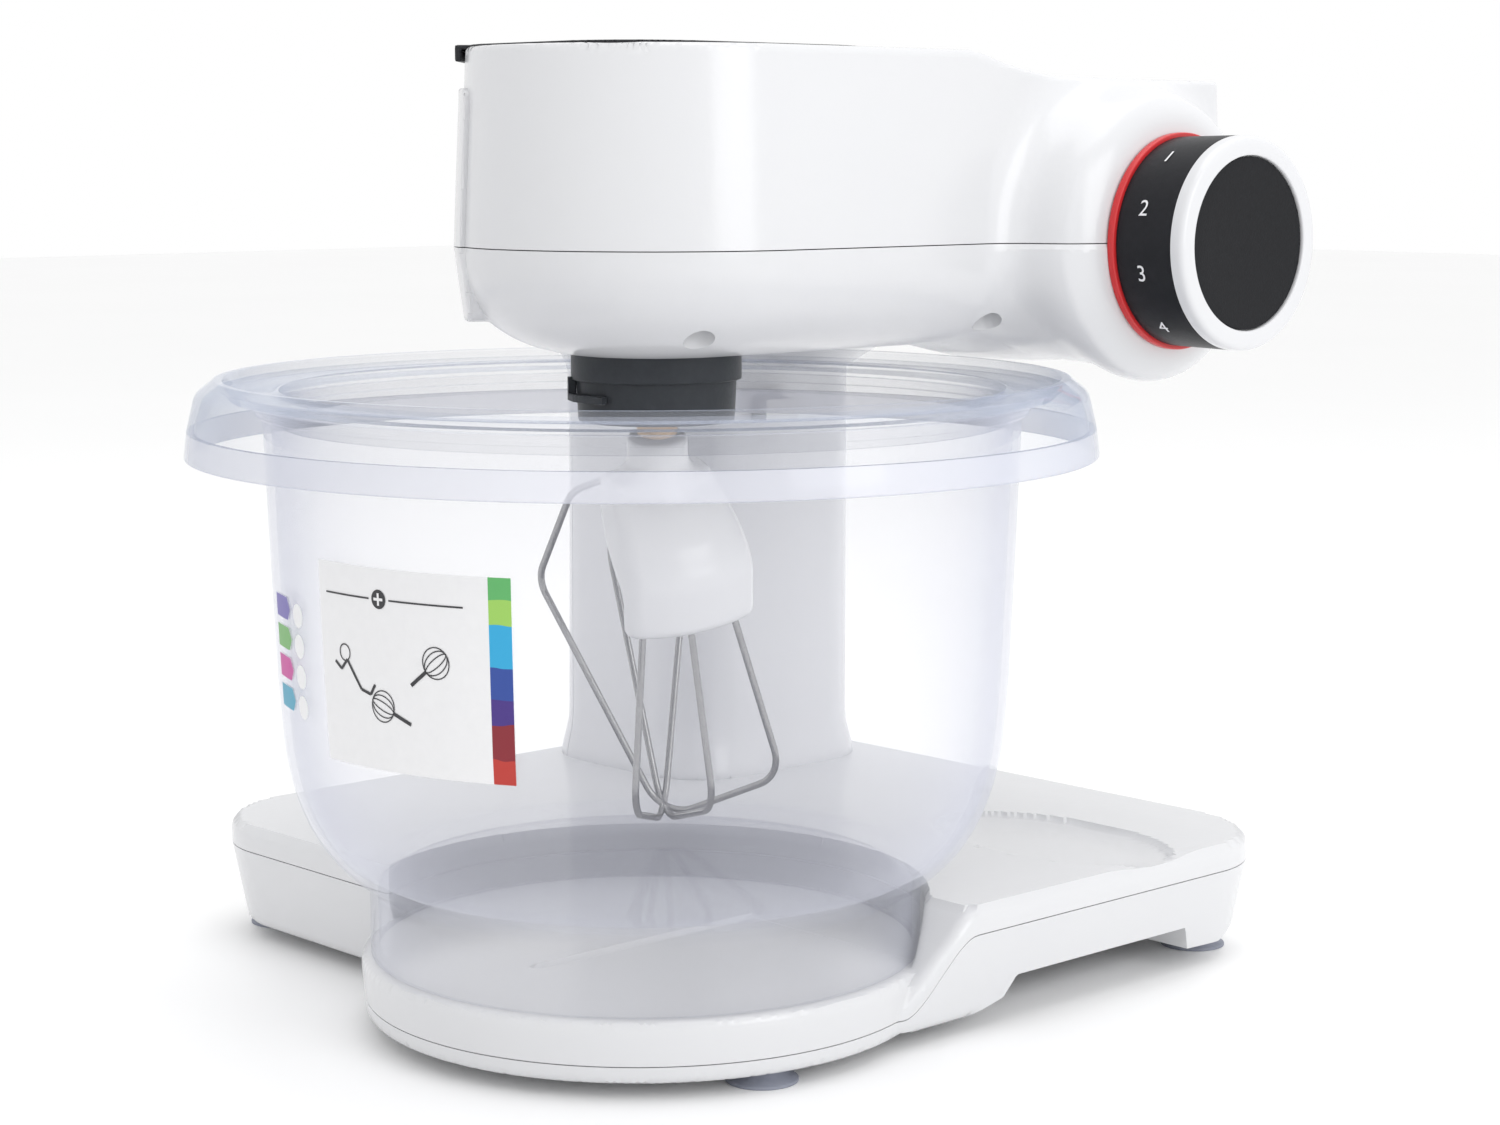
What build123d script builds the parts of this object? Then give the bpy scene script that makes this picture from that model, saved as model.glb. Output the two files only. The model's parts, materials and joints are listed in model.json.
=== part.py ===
from build123d import *
import math
import os

os.makedirs("parts", exist_ok=True)

# Compact kitchen machine, in millimetres. Everything is laid out about the bowl's axis, with
# +Z up and the front towards -Y. place() moves each piece so that the origin ends up under
# the middle of the whole machine.

# ---- overall sizes -------------------------------------------------------------------------
base_left = -195.0
base_rear = 217.0
base_right = 90.0
left_front = -45.0
lobe_top = 42.0
seat_z = 24.0
base_floor = 5.0
head_top = 305.4
head_step = 297.4
head_bottom = 211.0
head_half_width = 60.5
head_draft = 2.8
head_rear = 204.8
belly_depth = 45.0
parting_z = 245.0
pivot_y = 149.0
pivot_z = 244.7
arm_x = 2.7
arm_y = 2.9
hub_radius = 50.0
hub_waist = 42.0
hub_core = 36.0
hub_right = 83.7
hub_left = -106.7
wall = 2.5
gap = 0.5
fit = 0.06

# ---- base ----------------------------------------------------------------------------------
disc_radius = 90.0
lobe_parting = 33.0
disc_parting = 10.0
deck_corner = 38.0
relief_front_y = 79.0
relief_rear_y = 164.5
relief_z = 15.7
slope_low_y = 39.0
slope_high_y = 57.0
foot_radius = 11.0
foot_places = [(74.0, -19.0), (-178.0, -18.0), (64.0, 196.0), (-172.0, 196.0)]
foot_stem = 3.6
gland_z = 22.0

# ---- column --------------------------------------------------------------------------------
column_left = -190.0
column_right = -105.0
column_front = 115.0
column_rear = 206.0
column_corner = 22.0
button_z = 120.0

# ---- bowl and lid --------------------------------------------------------------------------
bowl_radius = 117.0
bowl_foot_radius = 87.0
bowl_floor = 47.0
bowl_rim = 197.0
bowl_wall = 2.6
bayonet_radius = 74.0
lid_radius = 141.0
lid_low = 181.0
lid_high = 205.0
lid_opening = 112.0
lid_wall = 2.2
label_turns = (-96.5, -59.5)
sticker_gap = 0.5
sticker_thick = 0.3
label_heights = (97.0, 156.5)
tag_turns = (-115.0, -98.5)
tag_heights = (108.0, 144.0)

# ---- drive ---------------------------------------------------------------------------------
collar_radius = 26.5
collar_low = 190.6
tool_tilt = 17.5
tool_heading = 136.6
tool_cross_z = 200.0
tool_reach = 153.5
spindle_radius = 4.0
wire_radius = 1.1
wire_headings = (65.6, 24.2, -9.9)
wire_near = (43.2, 127.0)
wire_far = (44.5, 74.0)
wire_slot = (28.4, 68.7)
shaft_radius = 5.0
motor_y = 96.0
motor_shaft_radius = 4.0
motor_radius = 30.0
pulley_z = 280.0
pulley_large = 36.0
pulley_small = 9.0
belt_thickness = 2.0
chassis_z = 238.0
socket_radius = 10.0
front_drive_z = 264.0
front_heading = -45  # the front drive looks this far to the left of straight ahead

# ---- dial ----------------------------------------------------------------------------------
dial_radius = 33.8
dial_ring_radius = 34.7
dial_start = 86.7
dial_end = 113.7
dial_disc_radius = 27.2
dial_shaft_radius = 4.0

middle = Vector((base_left + lid_radius) / 2, (base_rear - lid_radius) / 2, 0)


def place(shape, name):
    """Write one piece, moved so that the origin is under the middle of the machine."""
    moved = Pos(-middle.X, -middle.Y, 0) * shape
    parts = moved.solids()
    export_step(parts[0] if len(parts) == 1 else Compound(parts), f"parts/{name}.step")


def place_on_arm(shape, name):
    """Write one piece of the arm, which is drawn about the drive's own upright axis."""
    place(Pos(arm_x, arm_y, 0) * shape, name)


def rod(radius, low, high, x=0.0, y=0.0):
    """Upright cylinder between two heights."""
    return Pos(x, y, (low + high) / 2) * Cylinder(radius, high - low)


def bar_x(radius, low, high, y, z):
    """Cylinder along X."""
    return Pos((low + high) / 2, y, z) * Rot(0, 90, 0) * Cylinder(radius, high - low)


def bar_y(radius, low, high, x, z):
    """Cylinder along Y."""
    return Pos(x, (low + high) / 2, z) * Rot(90, 0, 0) * Cylinder(radius, high - low)


def block(x, y, z):
    """Box between pairs of coordinates."""
    size = [b - a for a, b in (x, y, z)]
    return Pos(*[(a + b) / 2 for a, b in (x, y, z)]) * Box(*size)


def rounded(x, y, z, radius):
    """Upright block with rounded vertical corners."""
    sketch = Pos((x[0] + x[1]) / 2, (y[0] + y[1]) / 2) * RectangleRounded(x[1] - x[0], y[1] - y[0], radius)
    return Pos(0, 0, z[0]) * extrude(sketch, z[1] - z[0])


def turned(points):
    """Solid of revolution about Z from (radius, z) corners."""
    return revolve(Plane.XZ * make_face(Polyline(points, close=True)), Axis.Z)


def side_prism(points, low, high):
    """Prism along X from (y, z) corners."""
    return Pos(low, 0, 0) * extrude(Plane.YZ * make_face(Polyline(points, close=True)), high - low)


# ---- base ----------------------------------------------------------------------------------
def lobes(inset, top, bottom):
    """The raised left and rear part of the base, without the bowl's pocket."""
    left = rounded(
        (base_left + inset, base_right - inset),
        (left_front + inset, base_rear - inset),
        (bottom, top),
        deck_corner - inset,
    )
    right_cut = block((0, base_right + 1), (left_front - 1, 0), (bottom - 1, top + 1))
    run = (top - seat_z) * (slope_high_y - slope_low_y) / (lobe_top - seat_z)
    low = slope_low_y + inset
    ramp = side_prism(
        [(-1, top + 1), (-1, seat_z), (low, seat_z), (low + run, top), (low + run, top + 1)],
        0,
        base_right + 1,
    )
    pocket = rod(disc_radius - 1.4 + inset, bottom - 1, top + 1)
    return left - right_cut - ramp - pocket


def parting_block(shift):
    """Everything that belongs to the lower shell, with its edge moved by shift."""
    low = block(
        (base_left - 1, base_right + 1), (-disc_radius - 1, base_rear + 1), (0, disc_parting + shift),
    )
    left = block((base_left - 1, 0), (left_front - 1, base_rear + 1), (0, lobe_parting + shift))
    run = [(0, 0), (slope_low_y - 8, 0), (slope_low_y - 8, disc_parting), (slope_high_y + 2, lobe_parting)]
    run += [(base_rear + 1, lobe_parting), (base_rear + 1, 0)]
    right = side_prism([(y, z + shift if z > 0 else z) for y, z in run], -1, base_right + 1)
    return low + ((left + right) - rod(disc_radius + 0.2, 0, 100))


base_outer = lobes(0, lobe_top, base_floor) + rod(disc_radius, base_floor, seat_z)
base_inner = lobes(wall, lobe_top - wall, -1) + rod(disc_radius - wall, -1, seat_z - wall)
pedestal = rod(bayonet_radius, seat_z - 1, seat_z + 12) - rod(
    bayonet_radius - wall, seat_z - 2, seat_z + 12 - wall,
)
tabs = Part()
for turn in range(4):
    tab = block((bayonet_radius - 1, bayonet_radius + 5), (-9, 9), (seat_z + 8, seat_z + 11))
    tabs += Rot(0, 0, 90 * turn) * tab
dish = Pos(38, 150, lobe_top + 88) * Sphere(92)
base_shell = base_outer - base_inner - dish
dish_skin = (Pos(38, 150, lobe_top + 88) * Sphere(92 + wall)) & block(
    (0, 88), (110, 190), (lobe_top - 12, lobe_top - wall + 0.2),
)
dish_skin -= dish
upper = base_shell + dish_skin - parting_block(gap / 2) + pedestal + tabs
column_hole = rounded(
    (column_left + wall + gap, column_right - wall - gap),
    (column_front + wall + gap, column_rear - wall - gap),
    (0, 60),
    column_corner - wall - gap,
)
upper -= column_hole
place(upper, "base_upper_shell")

lower = base_shell & parting_block(-gap / 2)
floor_plate = (lobes(0, lobe_top, base_floor) + rod(disc_radius, base_floor, seat_z)) & block(
    (base_left - 1, base_right + 1), (-disc_radius - 1, base_rear + 1), (base_floor, base_floor + wall)
)
lower += floor_plate
for x, y in foot_places:
    lower += rod(foot_radius - 1, base_floor, base_floor + 9, x, y) - rod(foot_stem + fit, 0, 30, x, y)
    lower -= rod(foot_stem + fit, 0, 30, x, y)
lower -= block(
    (-30, -16), (base_rear - 10, base_rear + 5), (gland_z - 7, gland_z + 7),
) & bar_y(6.5, base_rear - 12, base_rear + 5, -23, gland_z)
relief_y = (relief_front_y, relief_rear_y)
lower -= block((base_right - 12, base_right + 1), relief_y, (0, relief_z)) - rod(disc_radius, 0, 40)
lower += block((base_right - 14, base_right - 12), relief_y, (base_floor, relief_z + 2))
lower += block((base_right - 14, base_right - gap), relief_y, (relief_z, relief_z + 2))
place(lower, "base_lower_shell")

feet = Part()
foot_screws = Part()
for x, y in foot_places:
    cup = Pos(x, y, 0) * turned(
        [
            (0, 1.2),
            (foot_radius - 4, 0.8),
            (foot_radius - 1.5, 0),
            (foot_radius, 0),
            (foot_radius, 0.8),
            (6.5, 3.2),
            (6.5, base_floor),
            (0, base_floor),
        ]
    )
    stem = rod(foot_stem, base_floor - 0.5, base_floor + 11, x, y)
    feet += cup + stem - rod(1.5, base_floor + 2, base_floor + 12, x, y)
    screw = rod(1.5, base_floor + 2.5, base_floor + 12, x, y) + rod(
        4.5, base_floor + 11.5, base_floor + 14, x, y,
    )
    foot_screws += screw
place(feet, "suction_feet")
place(foot_screws, "foot_screws")

gland = bar_y(6.4, base_rear - wall - 2.4, base_rear + 0.0, -23, gland_z) + bar_y(
    9, base_rear - wall - 5, base_rear - wall - 0.1, -23, gland_z,
)
gland -= bar_y(3.4, base_rear - 12, base_rear + 3, -23, gland_z)
place(gland, "cord_gland")

base_screws = Part()
for x, y in [(-150, 20), (-150, 110), (-60, 190), (0, 190), (0, -60), (-60, 0), (60, 0)]:
    base_screws += rod(
        3.2, base_floor + wall + 0.1, base_floor + wall + 2.4, x, y,
    ) + rod(1.6, base_floor + wall + 2, base_floor + wall + 9, x, y)
place(base_screws, "base_screws")

# ---- column --------------------------------------------------------------------------------
hinge_y = pivot_y + arm_y


def column_body(inset, bottom):
    """Upright post with a round shoulder about the pivot."""
    post = rounded(
        (column_left + inset, column_right - inset),
        (column_front + inset, column_rear - inset),
        (bottom, pivot_z),
        column_corner - inset,
    )
    shoulder = bar_x(
        head_step - pivot_z - inset, column_left + inset, column_right - inset, hinge_y, pivot_z,
    )
    return post + (shoulder - block((-300, 0), (0, 300), (0, pivot_z - 52)))


column = column_body(0, lobe_top + 0.1) - column_body(wall, lobe_top - 5)
axle_radius = 9.0
column += bar_x(axle_radius + 5, column_left + 16, column_right - wall / 2, hinge_y, pivot_z)
column -= bar_x(axle_radius, column_left + 18, column_right + 5, hinge_y, pivot_z)
button_hole = bar_x(14 + gap, column_left - 5, column_left + 12, column_front + 45, button_z)
column -= button_hole
latch_y = hinge_y
guide = block(
    (column_right - 16, column_right - wall / 2),
    (latch_y - 11, latch_y + 11),
    (pivot_z - 100, pivot_z - 72),
)
guide -= block(
    (column_right - 13.4, column_right + 1), (latch_y - 8.4, latch_y + 8.4), (pivot_z - 97, pivot_z - 60),
)
column += guide - rod(2.7, pivot_z - 110, pivot_z - 90, column_right - 8.5, latch_y)
column -= block(
    (column_right - wall - 1, column_right + 1),
    (latch_y - 8.4, latch_y + 8.4),
    (pivot_z - 97, pivot_z - 60),
)
place(column, "column_shell")

axle = bar_x(axle_radius, column_left + 18, hub_left + 26, hinge_y, pivot_z)
axle -= bar_x(axle_radius - 2, column_left + 17, hub_left + 27, hinge_y, pivot_z)
place(axle, "pivot_axle")

button = bar_x(14, column_left - 3, column_left + 8, column_front + 45, button_z)
button += bar_x(4, column_left + 7, column_left + 40, column_front + 45, button_z)
button += bar_x(17, column_left + wall + 5, column_left + wall + 7, column_front + 45, button_z)
place(button, "release_button")

latch = block(
    (column_right - 13, column_right + 8), (latch_y - 8, latch_y + 8), (pivot_z - 70, pivot_z - 62),
)
latch += block(
    (column_right - 13, column_right - wall - 1.5),
    (latch_y - 8, latch_y + 8),
    (pivot_z - 84, pivot_z - 62),
)
latch += rod(2.2, pivot_z - 95, pivot_z - 83, column_right - 8.5, latch_y)
place(latch, "latch_bolt")
spring_low = pivot_z - 97.0
coils = 3
pitch = (6.6 - 1.2) / coils
spring_path = Helix(pitch, pitch * coils, 3.4)
spring_start = Plane(spring_path @ 0, z_dir=spring_path % 0)
spring = sweep(spring_start * Circle(0.5), spring_path, is_frenet=True)
place(Pos(column_right - 8.5, latch_y, spring_low + 0.6) * spring, "latch_spring")

# ---- head ----------------------------------------------------------------------------------
def head_body(inset, top):
    """Arm with a round nose, rounded bottom edges and a hub about the pivot."""
    half = head_half_width - inset
    waist = parting_z - 1.5
    low = head_bottom + inset
    narrow = half - head_draft * (top - waist) / (head_top - waist)
    belly = [
        (
            half - belly_depth + belly_depth * math.cos(turn) ** 0.87,
            waist - (waist - low) * math.sin(turn) ** 0.87,
        )
        for turn in [math.radians(step) for step in (90, 72, 54, 36, 18)]
    ]
    outline = [
        Line((0, low), belly[0]),
        Spline(*belly, (half, waist), tangents=[(1, 0), (0, 1)]),
        Line((half, waist), (narrow, top)),
        Line((narrow, top), (0, top)),
        Line((0, top), (0, low)),
    ]
    section = make_face(Curve() + outline)
    nose = revolve(Plane.XZ * section, Axis.Z)
    full = section + mirror(section, Plane.YZ)
    arm = nose + Pos(0, head_rear - inset, 0) * extrude(Plane.XZ * full, head_rear - inset)
    hub_line = [
        (hub_left + inset, 0),
        (hub_left + inset, hub_radius),
        (-82, hub_radius),
        (-61, hub_waist),
        (-40, hub_core),
    ]
    hub_line += [
        (40, hub_core),
        (61, hub_waist),
        (75, hub_radius - 2),
        (hub_right - inset, hub_radius - 2),
        (hub_right - inset, 0),
    ]
    line = Polyline([(x, r - inset if r else r) for x, r in hub_line], close=True)
    hub = Pos(0, pivot_y, pivot_z) * revolve(make_face(line), Axis.X)
    return arm + hub


step_line = [
    (81, head_top),
    (92.5, head_top - 3.2),
    (104, head_top - 5.5),
    (118.5, head_top - 7.4),
    (150, head_step),
]
step_line += [(base_rear, head_step), (base_rear, head_top + 9), (81, head_top + 9)]
step_cut = side_prism(step_line, -150, 150)
rear_round = rounded((hub_left - 1, hub_right + 1), (-100, head_rear), (150, 400), 8)
head_outer = (head_body(0, head_top) - step_cut) & rear_round
head_inner = head_body(wall, head_top - wall) - Pos(0, 0, -wall) * step_cut
head_shell = head_outer - head_inner
split = block((-150, 150), (-100, 260), (parting_z, 400))
to_front = Rot(0, 0, front_heading)
top_recess = rounded((-46, 46), (-52, 62), (head_top - 1.6, head_top + 5), 30)
top_recess += to_front * block((-14.6, 14.6), (-80, -48), (head_top - 1.6, head_top + 5))
top_cover_hole = rod(24, 280, 320)
front_hole = to_front * bar_y(17, -70, -40, 0, front_drive_z)
tunnel = bar_x(axle_radius + 3, hub_left - 1, hub_left + 30, pivot_y, pivot_z)
dial_hole = bar_x(7.5, hub_right - 8, hub_right + 5, pivot_y, pivot_z)
well_places = [(-42, -20), (42, -20), (-49.5, 97), (49.5, 97)]
wells = Part()
for x, y in well_places:
    wells += rod(4.8, head_bottom - 5, head_bottom + 16, x, y)
head_cuts = top_recess + top_cover_hole + front_hole + tunnel + dial_hole

upper_head = (head_shell & split) - head_cuts
place_on_arm(upper_head, "head_upper_shell")
lower_head = head_shell - (Pos(0, 0, -gap) * split) - head_cuts - rod(collar_radius + 0.3, 200, 230)
bushing_seat = bar_x(axle_radius + 9, hub_left + 1, hub_left + 28, pivot_y, pivot_z)
lower_head += bushing_seat & block((hub_left, 0), (100, 200), (180, parting_z - gap))
lower_head -= bar_x(axle_radius + 3, hub_left - 1, hub_left + 30, pivot_y, pivot_z)
posts = Part()
for x, y in well_places:
    posts += rod(6.8, head_bottom + 8, parting_z - gap, x, y)
lower_head = (lower_head + (posts & head_outer)) - wells
for x, y in well_places:
    lower_head -= rod(2.2, head_bottom, parting_z + 5, x, y)
place_on_arm(lower_head, "head_lower_shell")

head_screws = Part()
for x, y in well_places:
    head_screws += rod(
        3.6, head_bottom + 13, head_bottom + 15.9, x, y,
    ) + rod(1.9, head_bottom + 15, parting_z + 8, x, y)
place_on_arm(head_screws, "head_screws")

bushes = bar_x(axle_radius + 2.95, hub_left + 3, hub_left + 11, pivot_y, pivot_z) + bar_x(
    axle_radius + 2.95, hub_left + 14, hub_left + 22, pivot_y, pivot_z
)
bushes -= bar_x(axle_radius + fit, hub_left, hub_left + 40, pivot_y, pivot_z)
place_on_arm(bushes, "hub_bushes")

top_cover = rounded((-45.4, 45.4), (-51.4, 61.4), (head_top - 1.3, head_top), 29.4)
top_cover += to_front * block((-14, 14), (-head_half_width - 2.2, -48), (head_top - 1.3, head_top))
tongue_hook = block((-14, 14), (-head_half_width - 2.2, -head_half_width - 0.4), (head_top - 5, head_top))
top_cover += to_front * tongue_hook
place_on_arm(top_cover, "top_drive_cover")


def nose_cone(extra):
    """The nose's tapering outside, grown by extra, from the parting line up."""
    low, high = head_half_width + extra, head_half_width - head_draft + extra
    return turned([(0, parting_z + gap), (low, parting_z + gap), (high, head_top), (0, head_top)])


front_cover = to_front * block((-20.6, 20.6), (-head_half_width - 1.6, -50), (parting_z + gap, 292.4))
front_cover = (front_cover & nose_cone(1.6)) - nose_cone(0.35)
place_on_arm(front_cover, "front_drive_cover")

# ---- drive inside the head -------------------------------------------------------------------
collar = rod(collar_radius, 204, head_bottom + 8) + rod(collar_radius - 1.6, collar_low, 205)
collar += rod(collar_radius + 4, head_bottom + wall + 1.9, head_bottom + wall + 4.4)
collar -= rod(collar_radius - 4, collar_low - 1, head_bottom + 12)
for turn in (0, 120, 240):
    ramp = block((collar_radius - 2, collar_radius + 0.6), (-7, 7), (198, 201))
    collar += Rot(0, 0, 225 + turn) * ramp
place_on_arm(collar, "drive_collar")

heading = Vector(math.cos(math.radians(tool_heading)), math.sin(math.radians(tool_heading)), 0)
sideways = Vector(-heading.Y, heading.X, 0) * -1
tool_zero = Vector(0, 0, tool_cross_z)
tilt = math.radians(tool_tilt)
tool_down = heading * math.sin(tilt) + Vector(0, 0, -math.cos(tilt))
tool_plane = Plane(origin=tool_zero, x_dir=sideways, z_dir=tool_down)


def on_tool(shape):
    """Put a piece drawn along +Z onto the tilted tool axis, with Z = 0 at the collar."""
    return tool_plane.location * shape


carrier = rod(
    collar_radius - 4.6, collar_low + 2, head_bottom + 6,
) + rod(shaft_radius + 4, head_bottom, head_bottom + 14)
carrier -= on_tool(rod(spindle_radius + 2.4 + fit, -16, 30))
carrier -= on_tool(rod(12.6, -45, -13))
shaft = rod(shaft_radius, head_bottom + 14, head_top - 8)
place_on_arm(carrier - rod(shaft_radius, head_bottom + 13, 400), "planet_carrier")
place_on_arm(shaft, "main_shaft")
sleeve = on_tool(rod(spindle_radius + 2.4, -12.4, 14) - rod(spindle_radius, -60, 60))
place_on_arm(sleeve, "spindle_sleeve")
spindle = on_tool(rod(spindle_radius, -14, 20))
place_on_arm(spindle, "tool_spindle")

main_bearings = Part()
for low in (chassis_z - 3, pulley_z + 7.5):
    ring = rod(13, low, low + 6) - rod(shaft_radius + fit, low - 1, low + 7)
    main_bearings += ring
place_on_arm(main_bearings, "main_bearings")
chassis = rounded((-40, 40), (-42, 128), (chassis_z, chassis_z + 3), 16)
chassis -= rod(13, 200, 300) + rod(12.5, 200, 300, 0, motor_y)
for x, y in well_places:
    chassis -= rod(7.4, 200, 300, x, y)
bracket = rounded((-20, 20), (-20, 20), (head_top - 14, head_top - 11.5), 8) - rod(13, 200, 320)
bracket += block(
    (-20, -17), (-42, -38), (chassis_z + 1, head_top - 11.5),
) + block((-20, -17), (-42, -12), (head_top - 14, head_top - 11.5))
bracket += block(
    (17, 20), (-42, -38), (chassis_z + 1, head_top - 11.5),
) + block((17, 20), (-42, -12), (head_top - 14, head_top - 11.5))
place_on_arm(chassis + bracket, "chassis_plate")

stator = rounded(
    (-motor_radius, motor_radius),
    (motor_y - motor_radius, motor_y + motor_radius),
    (chassis_z + 10, chassis_z + 36),
    10,
)
stator -= rod(19.6, 200, 300, 0, motor_y)
stator += rod(
    4, chassis_z + 3, chassis_z + 10, -24, motor_y - 20,
) + rod(4, chassis_z + 3, chassis_z + 10, 24, motor_y + 20)
place_on_arm(stator, "motor_field_frame")
brushes = block((-30, -10.4), (motor_y - 4, motor_y + 4), (chassis_z + 3.1, chassis_z + 9)) + block(
    (10.4, 30), (motor_y - 4, motor_y + 4), (chassis_z + 3.1, chassis_z + 9)
)
place_on_arm(brushes, "brush_holders")
motor_bearings = rod(
    12.5, chassis_z - 3, chassis_z + 3, 0, motor_y,
) - rod(motor_shaft_radius + fit, 200, 300, 0, motor_y)
place_on_arm(motor_bearings, "motor_bearing")
motor_shaft = rod(motor_shaft_radius, chassis_z - 14, pulley_z + 6, 0, motor_y)
place_on_arm(motor_shaft, "motor_shaft")
armature = rod(
    19, chassis_z + 10, chassis_z + 36, 0, motor_y,
) - rod(motor_shaft_radius, 200, 300, 0, motor_y)
place_on_arm(armature, "motor_armature")
commutator = rod(
    10, chassis_z + 3.4, chassis_z + 9.6, 0, motor_y,
) - rod(motor_shaft_radius, 200, 300, 0, motor_y)
place_on_arm(commutator, "commutator")
fan = rod(7, chassis_z - 13, chassis_z - 5, 0, motor_y)
for turn in range(10):
    fan += Pos(0, motor_y, 0) * Rot(0, 0, 36 * turn) * block(
        (6, 22), (-0.8, 0.8), (chassis_z - 13, chassis_z - 5),
    )
fan += rod(22, chassis_z - 5.5, chassis_z - 4, 0, motor_y)
fan -= rod(motor_shaft_radius, 200, 300, 0, motor_y)
place_on_arm(fan, "motor_fan")


def pulley(radius, bore, y):
    """Flanged belt pulley."""
    wheel = rod(radius, pulley_z - 5, pulley_z + 5, 0, y) + rod(
        radius + 2, pulley_z - 6, pulley_z - 4.6, 0, y,
    )
    wheel += rod(radius + 2, pulley_z + 4.6, pulley_z + 6, 0, y)
    return wheel - rod(bore, pulley_z - 9, pulley_z + 9, 0, y)


large = pulley(pulley_large, shaft_radius, 0)
for turn in range(6):
    large -= Rot(0, 0, 60 * turn) * rod(8, pulley_z - 9, pulley_z + 9, 20, 0)
place_on_arm(large, "large_pulley")
place_on_arm(pulley(pulley_small, motor_shaft_radius, motor_y), "small_pulley")
lean = math.asin((pulley_large - pulley_small) / motor_y)


def belt_outline(extra):
    """Closed loop round both pulleys, standing off by extra."""
    near = pulley_large + extra
    far = pulley_small + extra
    c, s = math.cos(lean), math.sin(lean)
    corners = [
        (near * c, near * s),
        (far * c, motor_y + far * s),
        (-far * c, motor_y + far * s),
        (-near * c, near * s),
    ]
    return make_face(Polyline(corners, close=True)) + Circle(near) + Pos(0, motor_y) * Circle(far)


belt = extrude(belt_outline(0.3 + belt_thickness) - belt_outline(0.3), 7)
place_on_arm(Pos(0, 0, pulley_z - 3.5) * belt, "drive_belt")
top_socket = rod(socket_radius, head_top - 9.6, head_top - 2.6) - rod(shaft_radius, 200, head_top - 7)
for turn in range(3):
    top_socket -= Rot(0, 0, 60 * turn) * block((-8, 8), (-1.2, 1.2), (head_top - 5.5, head_top))
place_on_arm(top_socket, "top_drive_socket")
front_socket = to_front * (bar_y(15, -57.4, -49, 0, front_drive_z) - bar_y(8, -60, -53, 0, front_drive_z))
place_on_arm(front_socket, "front_drive_socket")

circuit_board = block((-48, 48), (150, 151.6), (222, 243))
circuit_board += block((-40, -26), (151.6, 163), (225, 239)) + block((0, 14), (151.6, 160), (226, 238))
place_on_arm(circuit_board, "circuit_board")

# ---- dial ----------------------------------------------------------------------------------
switch_body = block((52, 76), (pivot_y - 14, pivot_y + 14), (pivot_z - 14, pivot_z + 14))
switch_body -= bar_x(dial_shaft_radius + fit, 50, 80, pivot_y, pivot_z)
place_on_arm(switch_body, "speed_switch")
place_on_arm(bar_x(dial_shaft_radius, 56, dial_start + 10, pivot_y, pivot_z), "dial_shaft")
red_ring = bar_x(
    dial_ring_radius, hub_right + gap, dial_start, pivot_y, pivot_z,
) - bar_x(12, 70, 100, pivot_y, pivot_z)
place_on_arm(red_ring, "dial_ring")
dial = bar_x(dial_radius, dial_start + 0.05, dial_end - 5, pivot_y, pivot_z)
dial -= bar_x(dial_radius - wall, dial_start + 2.5, dial_end, pivot_y, pivot_z)
dial += bar_x(9, dial_start + 0.05, dial_end - 5.5, pivot_y, pivot_z) - bar_x(
    dial_shaft_radius, 70, dial_start + 10, pivot_y, pivot_z,
)
dial -= bar_x(dial_shaft_radius, 70, dial_start + 10, pivot_y, pivot_z)
place_on_arm(dial, "dial_body")
rim = bar_x(dial_radius, dial_end - 4.9, dial_end, pivot_y, pivot_z)
rim -= bar_x(dial_disc_radius + 0.3, dial_end - 2.5, 200, pivot_y, pivot_z)
place_on_arm(rim, "dial_rim")
place_on_arm(bar_x(dial_disc_radius, dial_end - 2.45, dial_end - 1.2, pivot_y, pivot_z), "dial_end_disc")

# ---- bowl and lid --------------------------------------------------------------------------
def bowl_line(inset):
    """Outer line of the bowl's cup as (radius, z), from the foot up to the rim."""
    top = bowl_radius - inset
    foot = bowl_foot_radius + 1.0 - inset * 0.6
    belly = [
        (bowl_radius - back - inset, bowl_floor + up) for back, up in ((19, 9), (10, 24), (5, 43), (2, 93))
    ]
    return Spline((foot, bowl_floor), *belly, (top, bowl_rim), tangents=[(0.7, 0.7), (0.01, 1)])


outer_line = bowl_line(0)
inner_line = bowl_line(bowl_wall)
cup_points = [
    Line((0, bowl_floor), outer_line @ 0),
    outer_line,
    Line(outer_line @ 1, (0, bowl_rim)),
    Line((0, bowl_rim), (0, bowl_floor)),
]
cup = revolve(Plane.XZ * make_face(Curve() + cup_points), Axis.Z)
hollow_points = [
    Line((0, bowl_floor), inner_line @ 0),
    inner_line,
    Line(inner_line @ 1, (inner_line @ 1) + Vector(0, 9)),
    Line((inner_line @ 1) + Vector(0, 9), (0, bowl_rim + 9)),
    Line((0, bowl_rim + 9), (0, bowl_floor)),
]
hollow = revolve(Plane.XZ * make_face(Curve() + hollow_points), Axis.Z)
hollow &= rod(bowl_radius * 2, bowl_floor + 3.5, bowl_rim + 10)
skirt = rod(bowl_foot_radius, seat_z + 0.3, bowl_floor + 2) - rod(
    bowl_foot_radius - bowl_wall, seat_z, bowl_floor + 3,
)
bowl = cup - hollow + skirt
rim_ring = rod(bowl_radius + 2.5, bowl_rim - 3, bowl_rim) - rod(bowl_radius - 1, bowl_rim - 5, bowl_rim + 1)
bowl += rim_ring
for turn in range(4):
    lug = block((bayonet_radius + 2, bowl_foot_radius - 1), (-7, 7), (seat_z + 3, seat_z + 6))
    bowl += Rot(0, 0, 90 * turn) * lug
place(bowl, "bowl")

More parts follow.
